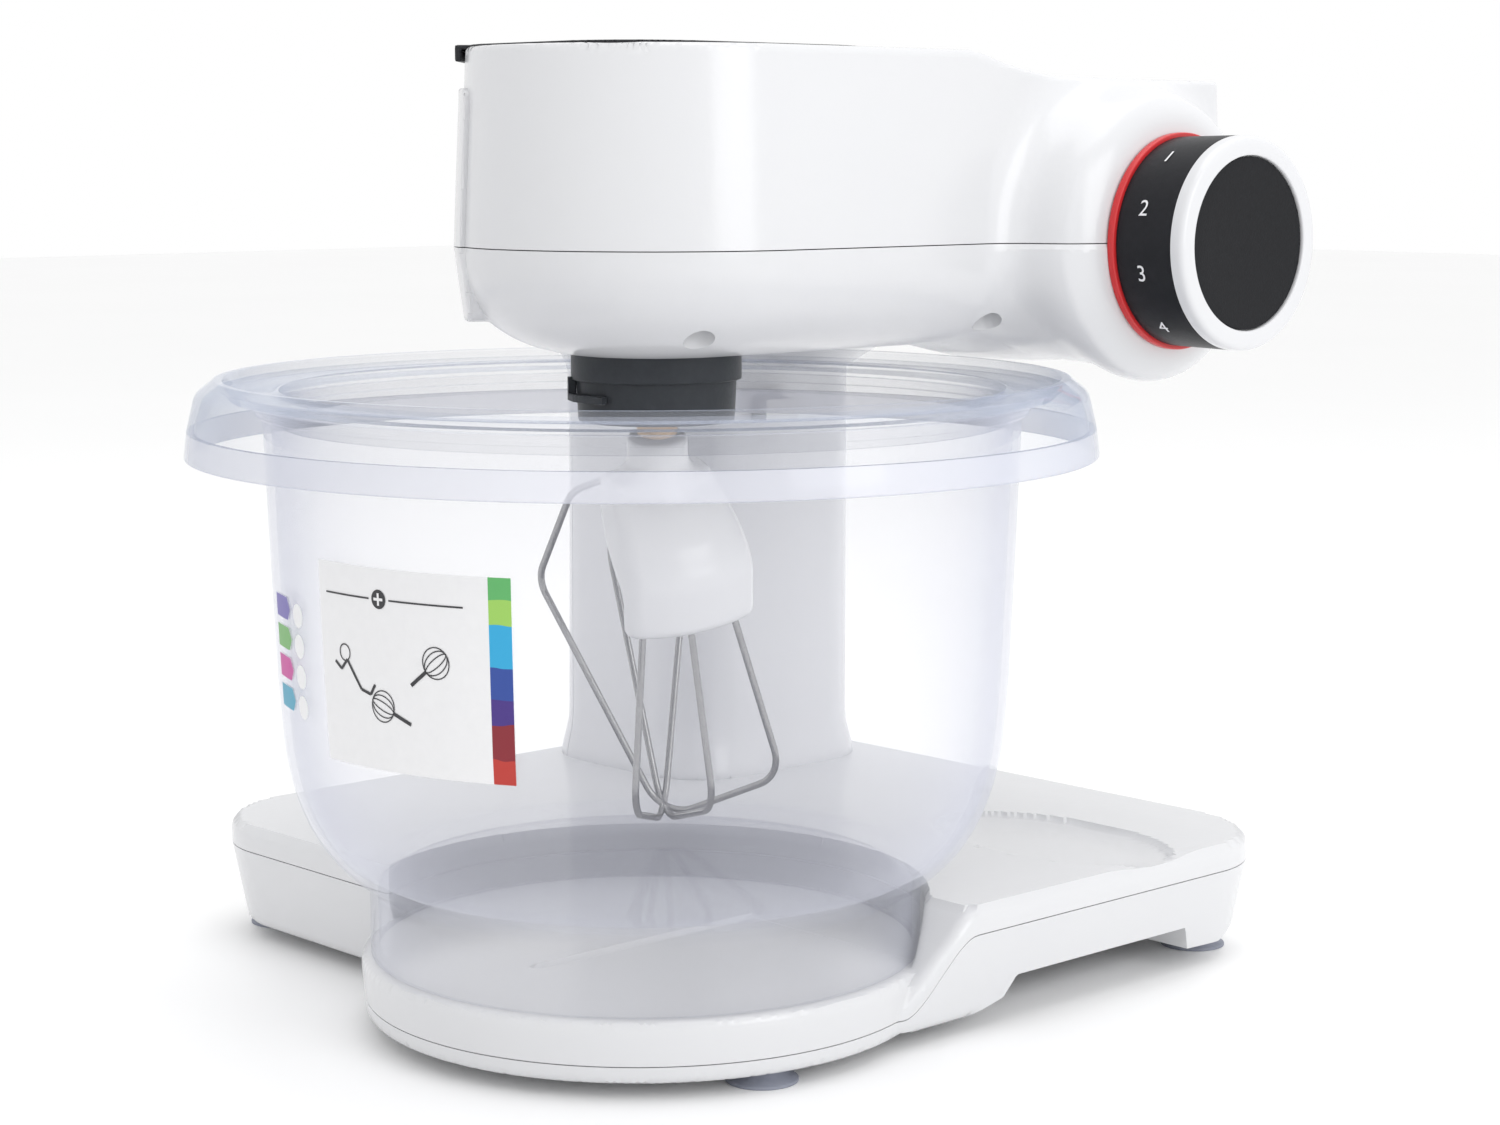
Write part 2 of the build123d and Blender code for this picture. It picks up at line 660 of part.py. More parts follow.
lid_points = [
    (lid_radius - lid_wall, lid_low),
    (lid_radius, lid_low),
    (lid_radius - 3.5, lid_high - 4),
    (lid_radius - 7, lid_high - 1),
    (lid_radius - 9, lid_high),
    (lid_radius - 13, lid_high),
    (lid_radius - 13, lid_high - 4),
    (lid_opening + 2, lid_high - 4),
    (lid_opening, lid_high - 3),
    (lid_opening, lid_high - 6.2),
    (lid_radius - 13 - lid_wall, lid_high - 6.2),
    (lid_radius - 10, lid_high - 3),
    (lid_radius - 7, lid_high - 5),
]
lid = turned(lid_points)
lid_skirt = rod(
    bowl_radius - bowl_wall - 0.6, bowl_rim - 6, lid_high - 5,
) - rod(bowl_radius - bowl_wall - 2.2, bowl_rim - 9, lid_high)
lid += lid_skirt
place(lid, "splash_lid")


def sticker(low_turn, high_turn, low, high):
    """Thin patch that follows the bowl's outer wall between two headings and two heights."""
    line = [outer_line @ (step / 80) for step in range(81)]
    near = [(p.X + sticker_gap, p.Y) for p in line]
    far = [(r + sticker_thick, z) for r, z in reversed(near)]
    skin = revolve(Plane.XZ * make_face(Polyline(near + far, close=True)), Axis.Z)
    ends = [
        (300 * math.cos(math.radians(a)), 300 * math.sin(math.radians(a))) for a in (low_turn, high_turn)
    ]
    wedge = extrude(make_face(Polyline([(0, 0)] + ends, close=True)), high - low)
    return skin & (Pos(0, 0, low) * wedge)


place(sticker(*label_turns, *label_heights), "bowl_label")
place(sticker(*tag_turns, *tag_heights), "bowl_tag")

# ---- whisk ---------------------------------------------------------------------------------
neck = rod(9, 21, 40) + rod(11.5, 14.4, 22)
neck -= rod(spindle_radius, 0, 20)
bill_turns = (80, 52, 24, -4, -26)
bill_outer = wire_slot[0] + 3.6
bill_inner = wire_slot[0] - 8
bill_edge = [
    (bill_outer * math.sin(math.radians(a)), bill_outer * math.cos(math.radians(a))) for a in bill_turns
]
bill_edge += [
    (bill_inner * math.sin(math.radians(a)), bill_inner * math.cos(math.radians(a))) for a in (-32, 86)
]
bill_face = make_face(Polyline(bill_edge, close=True))
bill_low = wire_slot[1] - 12.5
root = [(-13, -6), (-6, -12), (8, -10), (15, 6), (13, 17), (-6, 21), (-14, 12)]
hood = loft([Pos(0, 0, 30) * make_face(Polyline(root, close=True)), Pos(0, 0, bill_low) * bill_face])
body = hood + Pos(0, 0, bill_low) * extrude(bill_face, 13)


def wire_loop(heading):
    """One closed loop of wire: down from its slot, round a low corner, and back high on the other side."""
    reach = tool_reach
    points = [
        (wire_slot[0] - 5, wire_slot[1] - 10),
        wire_near,
        (0, reach),
        (-wire_far[0], wire_far[1]),
        (-wire_far[0] * 0.7, 40),
        (-6, 27),
    ]
    path = FilletPolyline(*[(x, 0, z) for x, z in points], radius=12)
    start = Plane(path @ 0, z_dir=path % 0)
    return Rot(0, 0, 90 - heading) * sweep(start * Circle(wire_radius), path)


wires = Pos(0, 0, tool_reach - 5) * Sphere(wire_radius * 2.4)
for heading in wire_headings:
    wires += wire_loop(heading)
place_on_arm(on_tool(wires), "whisk_wires")
place_on_arm(on_tool(neck + body - wires), "whisk_body")
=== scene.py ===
import bmesh
import bpy
import json
import math
import numpy as np
from mathutils import Matrix, Vector


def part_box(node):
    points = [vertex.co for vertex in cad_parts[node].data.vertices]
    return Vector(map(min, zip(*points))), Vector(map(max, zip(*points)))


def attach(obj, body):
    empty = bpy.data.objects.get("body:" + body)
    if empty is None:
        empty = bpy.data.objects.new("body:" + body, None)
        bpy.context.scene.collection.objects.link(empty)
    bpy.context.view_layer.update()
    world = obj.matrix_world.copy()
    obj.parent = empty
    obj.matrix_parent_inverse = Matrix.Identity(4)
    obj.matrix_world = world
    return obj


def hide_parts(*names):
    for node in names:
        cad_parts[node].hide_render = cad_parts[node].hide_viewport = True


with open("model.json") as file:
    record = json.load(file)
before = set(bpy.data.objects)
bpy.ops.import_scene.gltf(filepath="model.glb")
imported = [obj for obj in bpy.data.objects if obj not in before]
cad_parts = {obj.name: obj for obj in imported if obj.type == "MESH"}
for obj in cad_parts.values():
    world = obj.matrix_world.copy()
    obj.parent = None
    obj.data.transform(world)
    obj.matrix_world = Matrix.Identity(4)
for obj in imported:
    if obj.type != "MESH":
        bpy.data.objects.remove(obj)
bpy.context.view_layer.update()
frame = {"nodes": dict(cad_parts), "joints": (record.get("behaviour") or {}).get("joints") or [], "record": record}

# Lengths in this script are millimetres about the bowl's axis, with Z up from the worktop.
# to_row() turns them into metres in the shared frame.
MM = 0.001


def node_box(node):
    """Lowest and highest corners of a CAD node, in millimetres about the bowl's axis."""
    low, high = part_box(node)
    return (low - origin) / MM, (high - origin) / MM


bowl_low, bowl_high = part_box("bowl")
origin = Vector(((bowl_low.x + bowl_high.x) / 2, (bowl_low.y + bowl_high.y) / 2, 0))

# ---- sizes read from the frame ---------------------------------------------------------------
joint = {j["name"]: j for j in frame["joints"]}
pivot = (Vector(joint["head_tilt"]["pos_m"]) - origin) / MM
drive = (Vector(joint["carrier_spin"]["pos_m"]) - origin) / MM
head_low, head_high = node_box("head_lower_shell")[0], node_box("head_upper_shell")[1]
head_top = head_high.z
parting = (node_box("head_lower_shell")[1].z + node_box("head_upper_shell")[0].z) / 2
half_width = 60.5
base_low, base_high = node_box("base_lower_shell")[0], node_box("base_upper_shell")[1]
column_low, column_high = node_box("column_shell")
ring_low, ring_high = node_box("dial_ring")
dial_low, dial_high = node_box("dial_body")
rim_high = node_box("dial_rim")[1]
disc_low, disc_high = node_box("dial_end_disc")
collar_low, collar_high = node_box("drive_collar")
lid_low, lid_high = node_box("splash_lid")
rim_z = node_box("bowl")[1].z
seat_z = node_box("bowl")[0].z
tool_point = (Vector(joint["tool_spin"]["pos_m"]) - origin) / MM
tool_down = Vector(joint["tool_spin"]["axis"]).normalized()
tool_side = Vector((tool_down.y, -tool_down.x, 0)).normalized()
tool_frame = Matrix((tool_side, tool_down.cross(tool_side), tool_down)).transposed()

# ---- sizes of the moulded shapes -------------------------------------------------------------
HEAD_BOTTOM = 211.0
HEAD_STEP = 297.4
STEP_PLACES = (83, 90, 98, 107, 121, 150)
STEP_DROPS = (0, 1.2, 3.6, 5.4, 7.4, 8.0)
HEAD_DRAFT = 2.8
BELLY_WIDE = 45.0
HUB_RADIUS = 50.0
SEAM = 0.16
NOSE_HEADING = math.radians(-135)
LOBE_TOP = 42.0
DISC_RADIUS = 90.0
POCKET_RADIUS = 88.4
LEFT_FRONT = -45.0
BOWL_RADIUS = 117.0
FOOT_RADIUS = 87.0
BOWL_FLOOR = 50.5


# ---- materials -------------------------------------------------------------------------------
class Wave:
    """A shader value that can be added, multiplied and so on like a number."""

    def __init__(self, nodes, socket):
        self.nodes, self.socket = nodes, socket

    def _math(self, operation, a, b):
        return self.nodes.value("ShaderNodeMath", {"operation": operation}, {0: a, 1: b})

    def __add__(self, other):
        return self._math("ADD", self, other)

    def __radd__(self, other):
        return self._math("ADD", other, self)

    def __sub__(self, other):
        return self._math("SUBTRACT", self, other)

    def __rsub__(self, other):
        return self._math("SUBTRACT", other, self)

    def __mul__(self, other):
        return self._math("MULTIPLY", self, other)

    def __rmul__(self, other):
        return self._math("MULTIPLY", other, self)

    def __pow__(self, other):
        return self._math("POWER", self, other)


class Finish:
    """One material: its node tree, and the methods that add nodes to it."""

    def __init__(self, name, **sockets):
        self.material = bpy.data.materials.new(name)
        self.material.use_nodes = True
        self.tree = self.material.node_tree
        self.shader = self.tree.nodes["Principled BSDF"]
        self.output = self.tree.nodes["Material Output"]
        for socket, value in sockets.items():
            self.shader.inputs[socket.replace("_", " ")].default_value = value

    def node(self, kind, settings=(), sockets=()):
        """Add a node: its settings first, then the values or links of its sockets."""
        node = self.tree.nodes.new(kind)
        for key, value in dict(settings).items():
            if key == "stops":
                ramp = node.color_ramp
                while len(ramp.elements) < len(value):
                    ramp.elements.new(0.5)
                for element, (place, colour) in zip(ramp.elements, value):
                    element.position, element.color = place, colour
            else:
                setattr(node, key, value)
        for key, value in dict(sockets).items():
            if isinstance(value, Wave):
                self.tree.links.new(value.socket, node.inputs[key])
            else:
                node.inputs[key].default_value = value
        return node

    def value(self, kind, settings=(), sockets=(), out=0):
        """Add a node and return one of its outputs."""
        return Wave(self, self.node(kind, settings, sockets).outputs[out])

    def place(self):
        """Object coordinates, which keep to the piece as it moves."""
        return self.value("ShaderNodeTexCoord", out="Object")

    def noise(self, scale, detail=4.0, roughness=0.6, place=None):
        sockets = {"Vector": place or self.place(), "Scale": scale, "Detail": detail, "Roughness": roughness}
        return self.value("ShaderNodeTexNoise", sockets=sockets)

    def cells(self, scale):
        return self.value("ShaderNodeTexVoronoi", sockets={"Vector": self.place(), "Scale": scale})

    def ramp(self, factor, *stops):
        return self.value("ShaderNodeValToRGB", {"stops": stops}, {"Fac": factor})

    def mix(self, factor, a, b):
        """Colour mix."""
        sockets = {0: factor, 6: a, 7: b}
        return self.value("ShaderNodeMix", {"data_type": "RGBA"}, sockets, out=2)

    def feed(self, socket, wave):
        self.tree.links.new(wave.socket, self.shader.inputs[socket])

    def bump(self, height, strength, distance):
        sockets = {"Height": height, "Strength": strength, "Distance": distance}
        self.feed("Normal", self.value("ShaderNodeBump", sockets=sockets))

    def tinted(self, low, high, amount):
        """Base colour that drifts between two near colours."""
        self.feed("Base Color", self.mix(amount, low, high))


def shade(level, alpha=1.0):
    return (level, level, level, alpha)


def gloss_white():
    """Moulded white plastic: polished, with a faint orange peel and slight colour drift."""
    f = Finish("gloss_white", Roughness=0.2, IOR=1.5)
    drift = f.noise(9.0, 2.0)
    f.tinted((0.645, 0.65, 0.67, 1), (0.68, 0.684, 0.695, 1), drift)
    f.feed("Roughness", 0.15 + f.noise(60.0, 3.0) * 0.09)
    f.bump(f.noise(420.0, 2.0, 0.5), 0.05, 0.0004)
    return f


def pebbled(name, low, high, roughness, scale, strength):
    """Dark moulded plastic with a spark-eroded grain."""
    f = Finish(name)
    f.tinted(low, high, f.noise(scale * 0.3, 4.0))
    f.feed("Roughness", roughness - 0.06 + f.noise(scale * 0.5, 3.0) * 0.12)
    f.bump(f.noise(scale, 3.0, 0.55), strength, 0.0003)
    return f


def drawn_steel(name, tone, roughness):
    """Polished wire or plated steel, with fine marks from drawing."""
    f = Finish(name, Metallic=1.0)
    marks = f.noise(900.0, 3.0)
    f.tinted(shade(tone * 0.86), shade(tone), marks)
    f.feed("Roughness", roughness + f.noise(140.0, 4.0) * 0.12)
    f.bump(marks, 0.06, 0.0001)
    return f


def metal(name, dark, bright, roughness, scale):
    """Cast, sintered or stacked metal."""
    f = Finish(name, Metallic=0.9)
    f.tinted(dark, bright, f.noise(scale, 5.0))
    f.feed("Roughness", roughness + f.noise(scale * 2, 3.0) * 0.15)
    f.bump(f.noise(scale * 3, 3.0), 0.2, 0.0004)
    return f


def clear_plastic(name, clear, edge, thin, thick, power, floor=None):
    """Clear moulding: almost unseen face on, denser and bluer where the wall is seen on edge."""
    f = Finish(name, IOR=1.49, Roughness=0.04)
    facing = f.value("ShaderNodeLayerWeight", sockets={"Blend": 0.5}, out="Facing")
    haze = f.noise(14.0, 3.0)
    cover = thin + (facing**power) * (thick - thin) + haze * 0.03
    if floor is not None:
        height = f.value("ShaderNodeSeparateXYZ", sockets={0: f.place()}, out="Z")
        reach = {0: height, 1: floor - 0.001, 2: floor + 0.012, 3: 0.62, 4: 1.0}
        rise = f.value("ShaderNodeMapRange", sockets=reach)
        cover = cover * rise
    f.feed("Alpha", cover)
    f.tinted(clear, edge, facing)
    f.feed("Roughness", 0.03 + f.noise(40.0, 2.0) * 0.05)
    return f


gloss = gloss_white()
cover_dark = pebbled("cover_dark", (0.022, 0.023, 0.026, 1), (0.034, 0.035, 0.039, 1), 0.45, 1400.0, 0.25)
collar_grey = pebbled("collar_grey", (0.03, 0.033, 0.038, 1), (0.042, 0.046, 0.052, 1), 0.42, 1100.0, 0.2)
dial_black = pebbled("dial_black", (0.012, 0.0125, 0.015, 1), (0.018, 0.0185, 0.022, 1), 0.4, 1500.0, 0.12)
disc_black = pebbled("disc_black", (0.008, 0.0085, 0.01, 1), (0.013, 0.0135, 0.016, 1), 0.5, 1800.0, 0.3)
accent_red = pebbled("accent_red", (0.52, 0.018, 0.022, 1), (0.62, 0.028, 0.032, 1), 0.3, 700.0, 0.06)
foot_rubber = pebbled("foot_rubber", (0.2, 0.215, 0.27, 1), (0.27, 0.285, 0.34, 1), 0.6, 900.0, 0.3)
for soft in (dial_black, disc_black, collar_grey, cover_dark):
    soft.shader.inputs["Specular IOR Level"].default_value = 0.14
numeral_white = pebbled("numeral_white", (0.72, 0.72, 0.74, 1), (0.8, 0.8, 0.82, 1), 0.45, 1200.0, 0.1)
wire_steel = drawn_steel("wire_steel", 0.3, 0.16)
plated_steel = drawn_steel("plated_steel", 0.5, 0.3)
bronze = metal("sintered_bronze", (0.32, 0.2, 0.09, 1), (0.5, 0.34, 0.16, 1), 0.45, 300.0)
iron = metal("stacked_iron", (0.06, 0.06, 0.065, 1), (0.16, 0.16, 0.17, 1), 0.5, 200.0)
copper = metal("wound_copper", (0.42, 0.16, 0.07, 1), (0.62, 0.28, 0.13, 1), 0.35, 400.0)
belt_black = pebbled("belt_black", (0.012, 0.012, 0.013, 1), (0.022, 0.022, 0.024, 1), 0.65, 700.0, 0.4)
acetal = pebbled("acetal", (0.66, 0.65, 0.6, 1), (0.74, 0.73, 0.68, 1), 0.4, 500.0, 0.08)
board_green = pebbled("board_green", (0.015, 0.13, 0.05, 1), (0.03, 0.19, 0.08, 1), 0.35, 300.0, 0.1)
bowl_clear = clear_plastic("bowl_clear", (0.78, 0.79, 0.88, 1), (0.6, 0.62, 0.72, 1), 0.06, 0.78, 3.0, 0.053)
lid_clear = clear_plastic("lid_clear", (0.76, 0.78, 0.85, 1), (0.3, 0.36, 0.5, 1), 0.05, 0.85, 3.6)
lid_frost = clear_plastic("lid_frost", (0.76, 0.77, 0.84, 1), (0.5, 0.53, 0.63, 1), 0.34, 0.85, 2.4)


# ---- solids from distance fields ---------------------------------------------------------------
def both(a, b, radius):
    """Where two solids overlap, with a rounded edge."""
    u, v = np.maximum(a + radius, 0), np.maximum(b + radius, 0)
    return np.minimum(np.maximum(a, b), -radius) + np.hypot(u, v)


def either(a, b, radius):
    """Two solids together, with a filleted joint."""
    return -both(-a, -b, radius)


def less(a, b, radius):
    """One solid with another taken away, with a rounded edge."""
    return both(a, -b, radius)


def smooth_step(t):
    t = np.clip(t, 0, 1)
    return t * t * (3 - 2 * t)


def slab(value, low, high):
    """Distance outside the range from low to high."""
    return np.maximum(low - value, value - high)


def oblong(x, y, x_range, y_range, radius):
    """Flat rounded rectangle."""
    dx = np.abs(x - sum(x_range) / 2) - (x_range[1] - x_range[0]) / 2 + radius
    dy = np.abs(y - sum(y_range) / 2) - (y_range[1] - y_range[0]) / 2 + radius
    return np.hypot(np.maximum(dx, 0), np.maximum(dy, 0)) + np.minimum(np.maximum(dx, dy), 0) - radius


def to_row(points):
    """Millimetres about the bowl's axis to metres in the shared frame."""
    return np.asarray(points, float) * MM + np.array(origin)


def new_piece(name, points, faces, finish, sharp=None, smooth=True):
    """Mesh object from points in millimetres."""
    mesh = bpy.data.meshes.new(name)
    mesh.from_pydata(to_row(points).tolist(), [], [list(map(int, f)) for f in faces])
    mesh.update()
    piece = bpy.data.objects.new(name, mesh)
    bpy.context.scene.collection.objects.link(piece)
    mesh.materials.append(finish.material)
    if smooth:
        mesh.shade_smooth()
    if sharp:
        mesh.set_sharp_from_angle(angle=math.radians(sharp))
    return piece


def solid(name, fields, low, high, step, finish, sharp=38):
    """Closed mesh of the space where every field is negative. Edges between two fields stay crisp."""
    counts = [int(math.ceil((b - a) / step)) + 1 for a, b in zip(low, high)]
    axes = [a + step * np.arange(n) for a, n in zip(low, counts)]
    grid = np.meshgrid(*axes, indexing="ij", sparse=True)
    shape = tuple(counts)
    values = [np.broadcast_to(field(*grid), shape) for field in fields]
    inside = np.ones(shape, bool)
    for value in values:
        inside &= value < 0
    corners = [tuple(slice(o, n - 1 + o) for o, n in zip(offset, counts)) for offset in np.ndindex(2, 2, 2)]
    total = sum(inside[c].astype(np.int8) for c in corners)
    cells = np.argwhere((total > 0) & (total < 8))
    index = np.full([n - 1 for n in counts], -1)
    index[tuple(cells.T)] = np.arange(len(cells))
    points = np.array(low) + (cells + 0.5) * step
    crossing = []
    for value in values:
        around = np.stack([value[c][tuple(cells.T)] for c in corners])
        crossing.append((around.min(0) < 0) & (around.max(0) >= 0))
    crossing = np.stack(crossing, 1)
    start = points.copy()
    for _ in range(6):
        points = points - settle(fields, points, crossing)
        points = np.clip(points, start - step, start + step)
    faces = []
    for axis in range(3):
        ahead = [slice(None)] * 3
        behind = [slice(None)] * 3
        ahead[axis], behind[axis] = slice(1, None), slice(None, -1)
        first, second = inside[tuple(behind)], inside[tuple(ahead)]
        u, v = [a for a in range(3) if a != axis]
        edges = np.argwhere(first != second)
        edges = edges[(edges[:, u] > 0) & (edges[:, v] > 0)]
        limit = np.array(counts) - 2
        edges = edges[(edges[:, u] <= limit[u]) & (edges[:, v] <= limit[v])]
        quad = []
        for du, dv in ((1, 1), (0, 1), (0, 0), (1, 0)):
            cell = edges.copy()
            cell[:, u] -= du
            cell[:, v] -= dv
            quad.append(index[tuple(cell.T)])
        quad = np.stack(quad, 1)
        flip = first[tuple(edges.T)] == (axis == 1)
        quad[flip] = quad[flip][:, ::-1]
        faces.append(quad)
    faces = np.concatenate(faces)
    return new_piece(name, points, faces, finish, sharp)


def settle(fields, points, crossing):
    """Step that brings each point onto the surface, or onto the edge, that its cell holds."""
    nudge = 0.02
    rows, rights = [], []
    for number, field in enumerate(fields):
        value = field(*points.T)
        steps = nudge * np.eye(3)
        rises = [field(*(points + step).T) - field(*(points - step).T) for step in steps]
        slope = np.stack(rises, 1) / (2 * nudge)
        keep = crossing[:, number].astype(float)
        rows.append(slope * keep[:, None])
        rights.append(value * keep)
    rows, rights = np.stack(rows, 1), np.stack(rights, 1)
    square = np.einsum("nka,nla->nkl", rows, rows) + 1e-3 * np.eye(len(fields))
    weights = np.linalg.solve(square, rights[:, :, None])[:, :, 0]
    return np.einsum("nka,nk->na", rows, weights)


# ---- head --------------------------------------------------------------------------------------
def head_outer(x, y, z):
    """Arm with a round nose, a soft belly and a hub that swells out to the dial."""
    x, y = x - drive.x, y - drive.y
    up = np.maximum(z - parting, 0) / (head_top - parting)
    side = np.hypot(x, y - np.clip(y, 0, 400)) - half_width
    across = np.maximum(side + BELLY_WIDE, 0) / BELLY_WIDE
    down = np.maximum(parting - 1.5 - z, 0) / (parting - 1.5 - HEAD_BOTTOM)
    belly = ((across**2.3 + down**2.3 + 1e-9) ** (1 / 2.3) - 1) * 38
    arm = np.where(z < parting - 1.5, belly, side + up * HEAD_DRAFT)
    swell = np.interp(np.abs(x).ravel(), (40, 61, 78, 200), (-14, -8, 0, 0)).reshape(x.shape)
    radial = np.hypot(y + drive.y - pivot.y, z - pivot.z) - HUB_RADIUS - swell
    right_end = both(radial + 1, x + drive.x - ring_low.x + 0.4, 17)
    right_end = both(right_end, -x, 1)
    left_end = both(both(radial, head_low.x - drive.x - x, 4), x, 1)
    body = either(arm, right_end, 26)
    body = either(body, left_end, 8)
    body = both(body, y + drive.y - head_high.y, 6)
    drop = np.interp((y + drive.y).ravel(), STEP_PLACES, STEP_DROPS).reshape(y.shape)
    return both(body, z - head_top + 0.7 + drop, 1.4)


def front_pad(x, y, z):
    """Raised panel on the nose, which thins out into the belly."""
    x, y = x - drive.x, y - drive.y
    turn = np.arctan2(y, x) - NOSE_HEADING
    across = half_width * np.arctan2(np.sin(turn), np.cos(turn))
    up = np.maximum(z - parting, 0) / (head_top - parting)
    fade = np.clip((parting - z) / 24.0, 0, 1)
    reach = half_width + 1.6 - up * HEAD_DRAFT - fade * 3.2
    return both(np.hypot(x, y) - reach, oblong(across, z, (-23, 23), (222, 292.4), 5), 0.7)


WELLS = ((-42, -20), (42, -20), (-49.5, 97), (49.5, 97))


def head_wells(x, y, z):
    """Outside of the round wells that hold the belly's screws."""
    gone = z * 0 + 100
    for wx, wy in WELLS:
        hole = np.hypot(x - drive.x - wx, y - drive.y - wy) - 4.75
        gone = np.minimum(gone, np.maximum(hole, z - HEAD_BOTTOM - 16))
    return -gone


def lower_outer(x, y, z):
    return either(head_outer(x, y, z), front_pad(x, y, z), 0.6)


def behind_pad(x, y, z):
    """Outside of the nose that the panel lies on."""
    up = np.maximum(z - parting, 0) / (head_top - parting)
    return half_width - up * HEAD_DRAFT - 0.4 - np.hypot(x - drive.x, y - drive.y)


def make_head():
    low = (head_low.x - 3, -half_width - 6, HEAD_BOTTOM - 22)
    high = (ring_low.x + 4, head_high.y + 3, head_top + 3)
    belly = solid(
        "head_belly",
        [lower_outer, lambda x, y, z: z - parting + SEAM, head_wells],
        low,
        (high[0], high[1], parting + 2),
        1.3,
        gloss,
    )
    crown = solid(
        "head_crown",
        [head_outer, lambda x, y, z: parting + SEAM - z, top_pocket],
        (low[0], low[1], parting - 2),
        high,
        1.3,
        gloss,
    )
    panel = solid(
        "front_panel",
        [front_pad, behind_pad, lambda x, y, z: parting + SEAM - z],
        (-64, -64, parting - 2),
        (14, 14, 295),
        0.9,
        gloss,
    )
    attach(belly, "head")
    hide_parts("head_lower_shell")
    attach(crown, "head")
    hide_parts("head_upper_shell")
    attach(panel, "front_cover")
    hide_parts("front_drive_cover")


COVER_X = (drive.x - 45.4, drive.x + 45.4)
COVER_Y = (drive.y - 51.4, drive.y + 61.4)
HOOK_REACH = half_width - HEAD_DRAFT
COLLAR_RADIUS = 26.5


def along_nose(x, y):
    """Distance out over the nose, and across it."""
    x, y = x - drive.x, y - drive.y
    c, n = math.cos(NOSE_HEADING), math.sin(NOSE_HEADING)
    return x * c + y * n, y * c - x * n


def top_pocket(x, y, z):
    """Outside of the shallow pocket that the top cover lies in."""
    pocket = oblong(x, y, (COVER_X[0] - 0.6, COVER_X[1] + 0.6), (COVER_Y[0] - 0.6, COVER_Y[1] + 0.6), 30)
    along, across = along_nose(x, y)
    tongue = np.maximum(np.abs(across) - 11.6, slab(along, 40, 80))
    return -np.maximum(np.minimum(pocket, tongue), head_top - 1.6 - z)


def top_cover_field(x, y, z):
    """Thin dark lid on the arm, with a tongue that hooks over the nose."""
    lid = both(oblong(x, y, COVER_X, COVER_Y, 29.4), slab(z, head_top - 1.3, head_top), 0.35)
    along, across = along_nose(x, y)
    layer = slab(z, head_top - 1.3, head_top)
    tongue = both(oblong(along, across, (30, HOOK_REACH + 2.4), (-11, 11), 2), layer, 0.35)
    front = oblong(along, across, (HOOK_REACH + 0.4, HOOK_REACH + 2.4), (-11, 11), 0.9)
    hook = both(front, slab(z, head_top - 5, head_top), 0.5)
    return np.minimum(np.minimum(lid, tongue), hook)


def make_top_cover():
    low, high = (-64, -64, head_top - 7), (56, 72, head_top + 1.2)
    cover = solid("top_cover_plate", [top_cover_field], low, high, 0.8, cover_dark)
    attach(cover, "top_cover")
    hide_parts("top_drive_cover")


# ---- base --------------------------------------------------------------------------------------
SLOPE_LOW, SLOPE_HIGH = 38.0, 56.0
ARCH_PLACES = (40, 75, 80, 164, 167, 185, 200, 300)
ARCH_RISES = (0, 9, 15.7, 15.7, 7.6, 7.0, 13, 40)
LOBE_PARTING, DISC_PARTING = 33.0, 10.5
BASE_FLOOR = 5.0
DECK_CORNER = 38.0


def base_outer(x, y, z):
    """Low foot: a round seat for the bowl, with a higher deck behind it and to its left."""
    draft = np.maximum(LOBE_PARTING - z, 0) * 0.16 + (LOBE_TOP - z) * 0.03
    seat_draft = np.maximum(20.0 - z, 0) * 0.1
    seat = both(np.hypot(x, y) - DISC_RADIUS + seat_draft, slab(z, BASE_FLOOR, 24.0), 2.0)
    deck = oblong(x, y, (base_low.x, base_high.x), (LEFT_FRONT, base_high.y), DECK_CORNER) + draft
    plan = less(deck, both(-x, y - 2, 4), 1)
    deck_solid = both(plan, z - LOBE_TOP, 4.5)
    slope = (z - 24.0 - (y - SLOPE_LOW) * (LOBE_TOP - 24.0) / (SLOPE_HIGH - SLOPE_LOW)) * 0.7
    sloped = both(deck_solid, np.where(x > -30, slope, -50.0), 4.0)
    sloped = less(sloped, np.hypot(x, y) - POCKET_RADIUS, 1.6)
    sloped = both(sloped, BASE_FLOOR - z, 2.5)
    return either(seat, sloped, 0.5)


def base_hollows(x, y, z):
    """Outside of the shallow tray on the deck. The bowl's pocket is cut in base_outer and the arch under the right
    side in base_arch.
    """
    far = np.sqrt(((x - 42) / 62) ** 2 + ((y - 146) / 36) ** 2)
    floor = LOBE_TOP - 3.4 * (1 - smooth_step((far - 0.45) / 0.55))
    return z - floor


def base_parting(x, y, z):
    """Height above the line where the two shells meet."""
    climb = smooth_step((y - SLOPE_LOW + 8) / (SLOPE_HIGH - SLOPE_LOW + 10))
    right = DISC_PARTING + (LOBE_PARTING - DISC_PARTING) * climb
    left = DISC_PARTING + (LOBE_PARTING - DISC_PARTING) * smooth_step((y - LEFT_FRONT + 2) * 0.5)
    return z - np.where(x > 0, right, left)


def make_base():
    low = (base_low.x - 3, -DISC_RADIUS - 3, BASE_FLOOR - 3)
    high = (base_high.x + 3, base_high.y + 3, LOBE_TOP + 3)
    above = [base_outer, lambda x, y, z: SEAM - base_parting(x, y, z), base_hollows]
    below = [base_outer, lambda x, y, z: base_parting(x, y, z) + SEAM, base_arch]
    deck = solid("base_deck", above, low, high, 1.6, gloss)
    tray = solid("base_tray", below, low, high, 1.6, gloss)
    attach(deck, "base")
    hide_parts("base_upper_shell")
    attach(tray, "base")
    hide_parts("base_lower_shell")


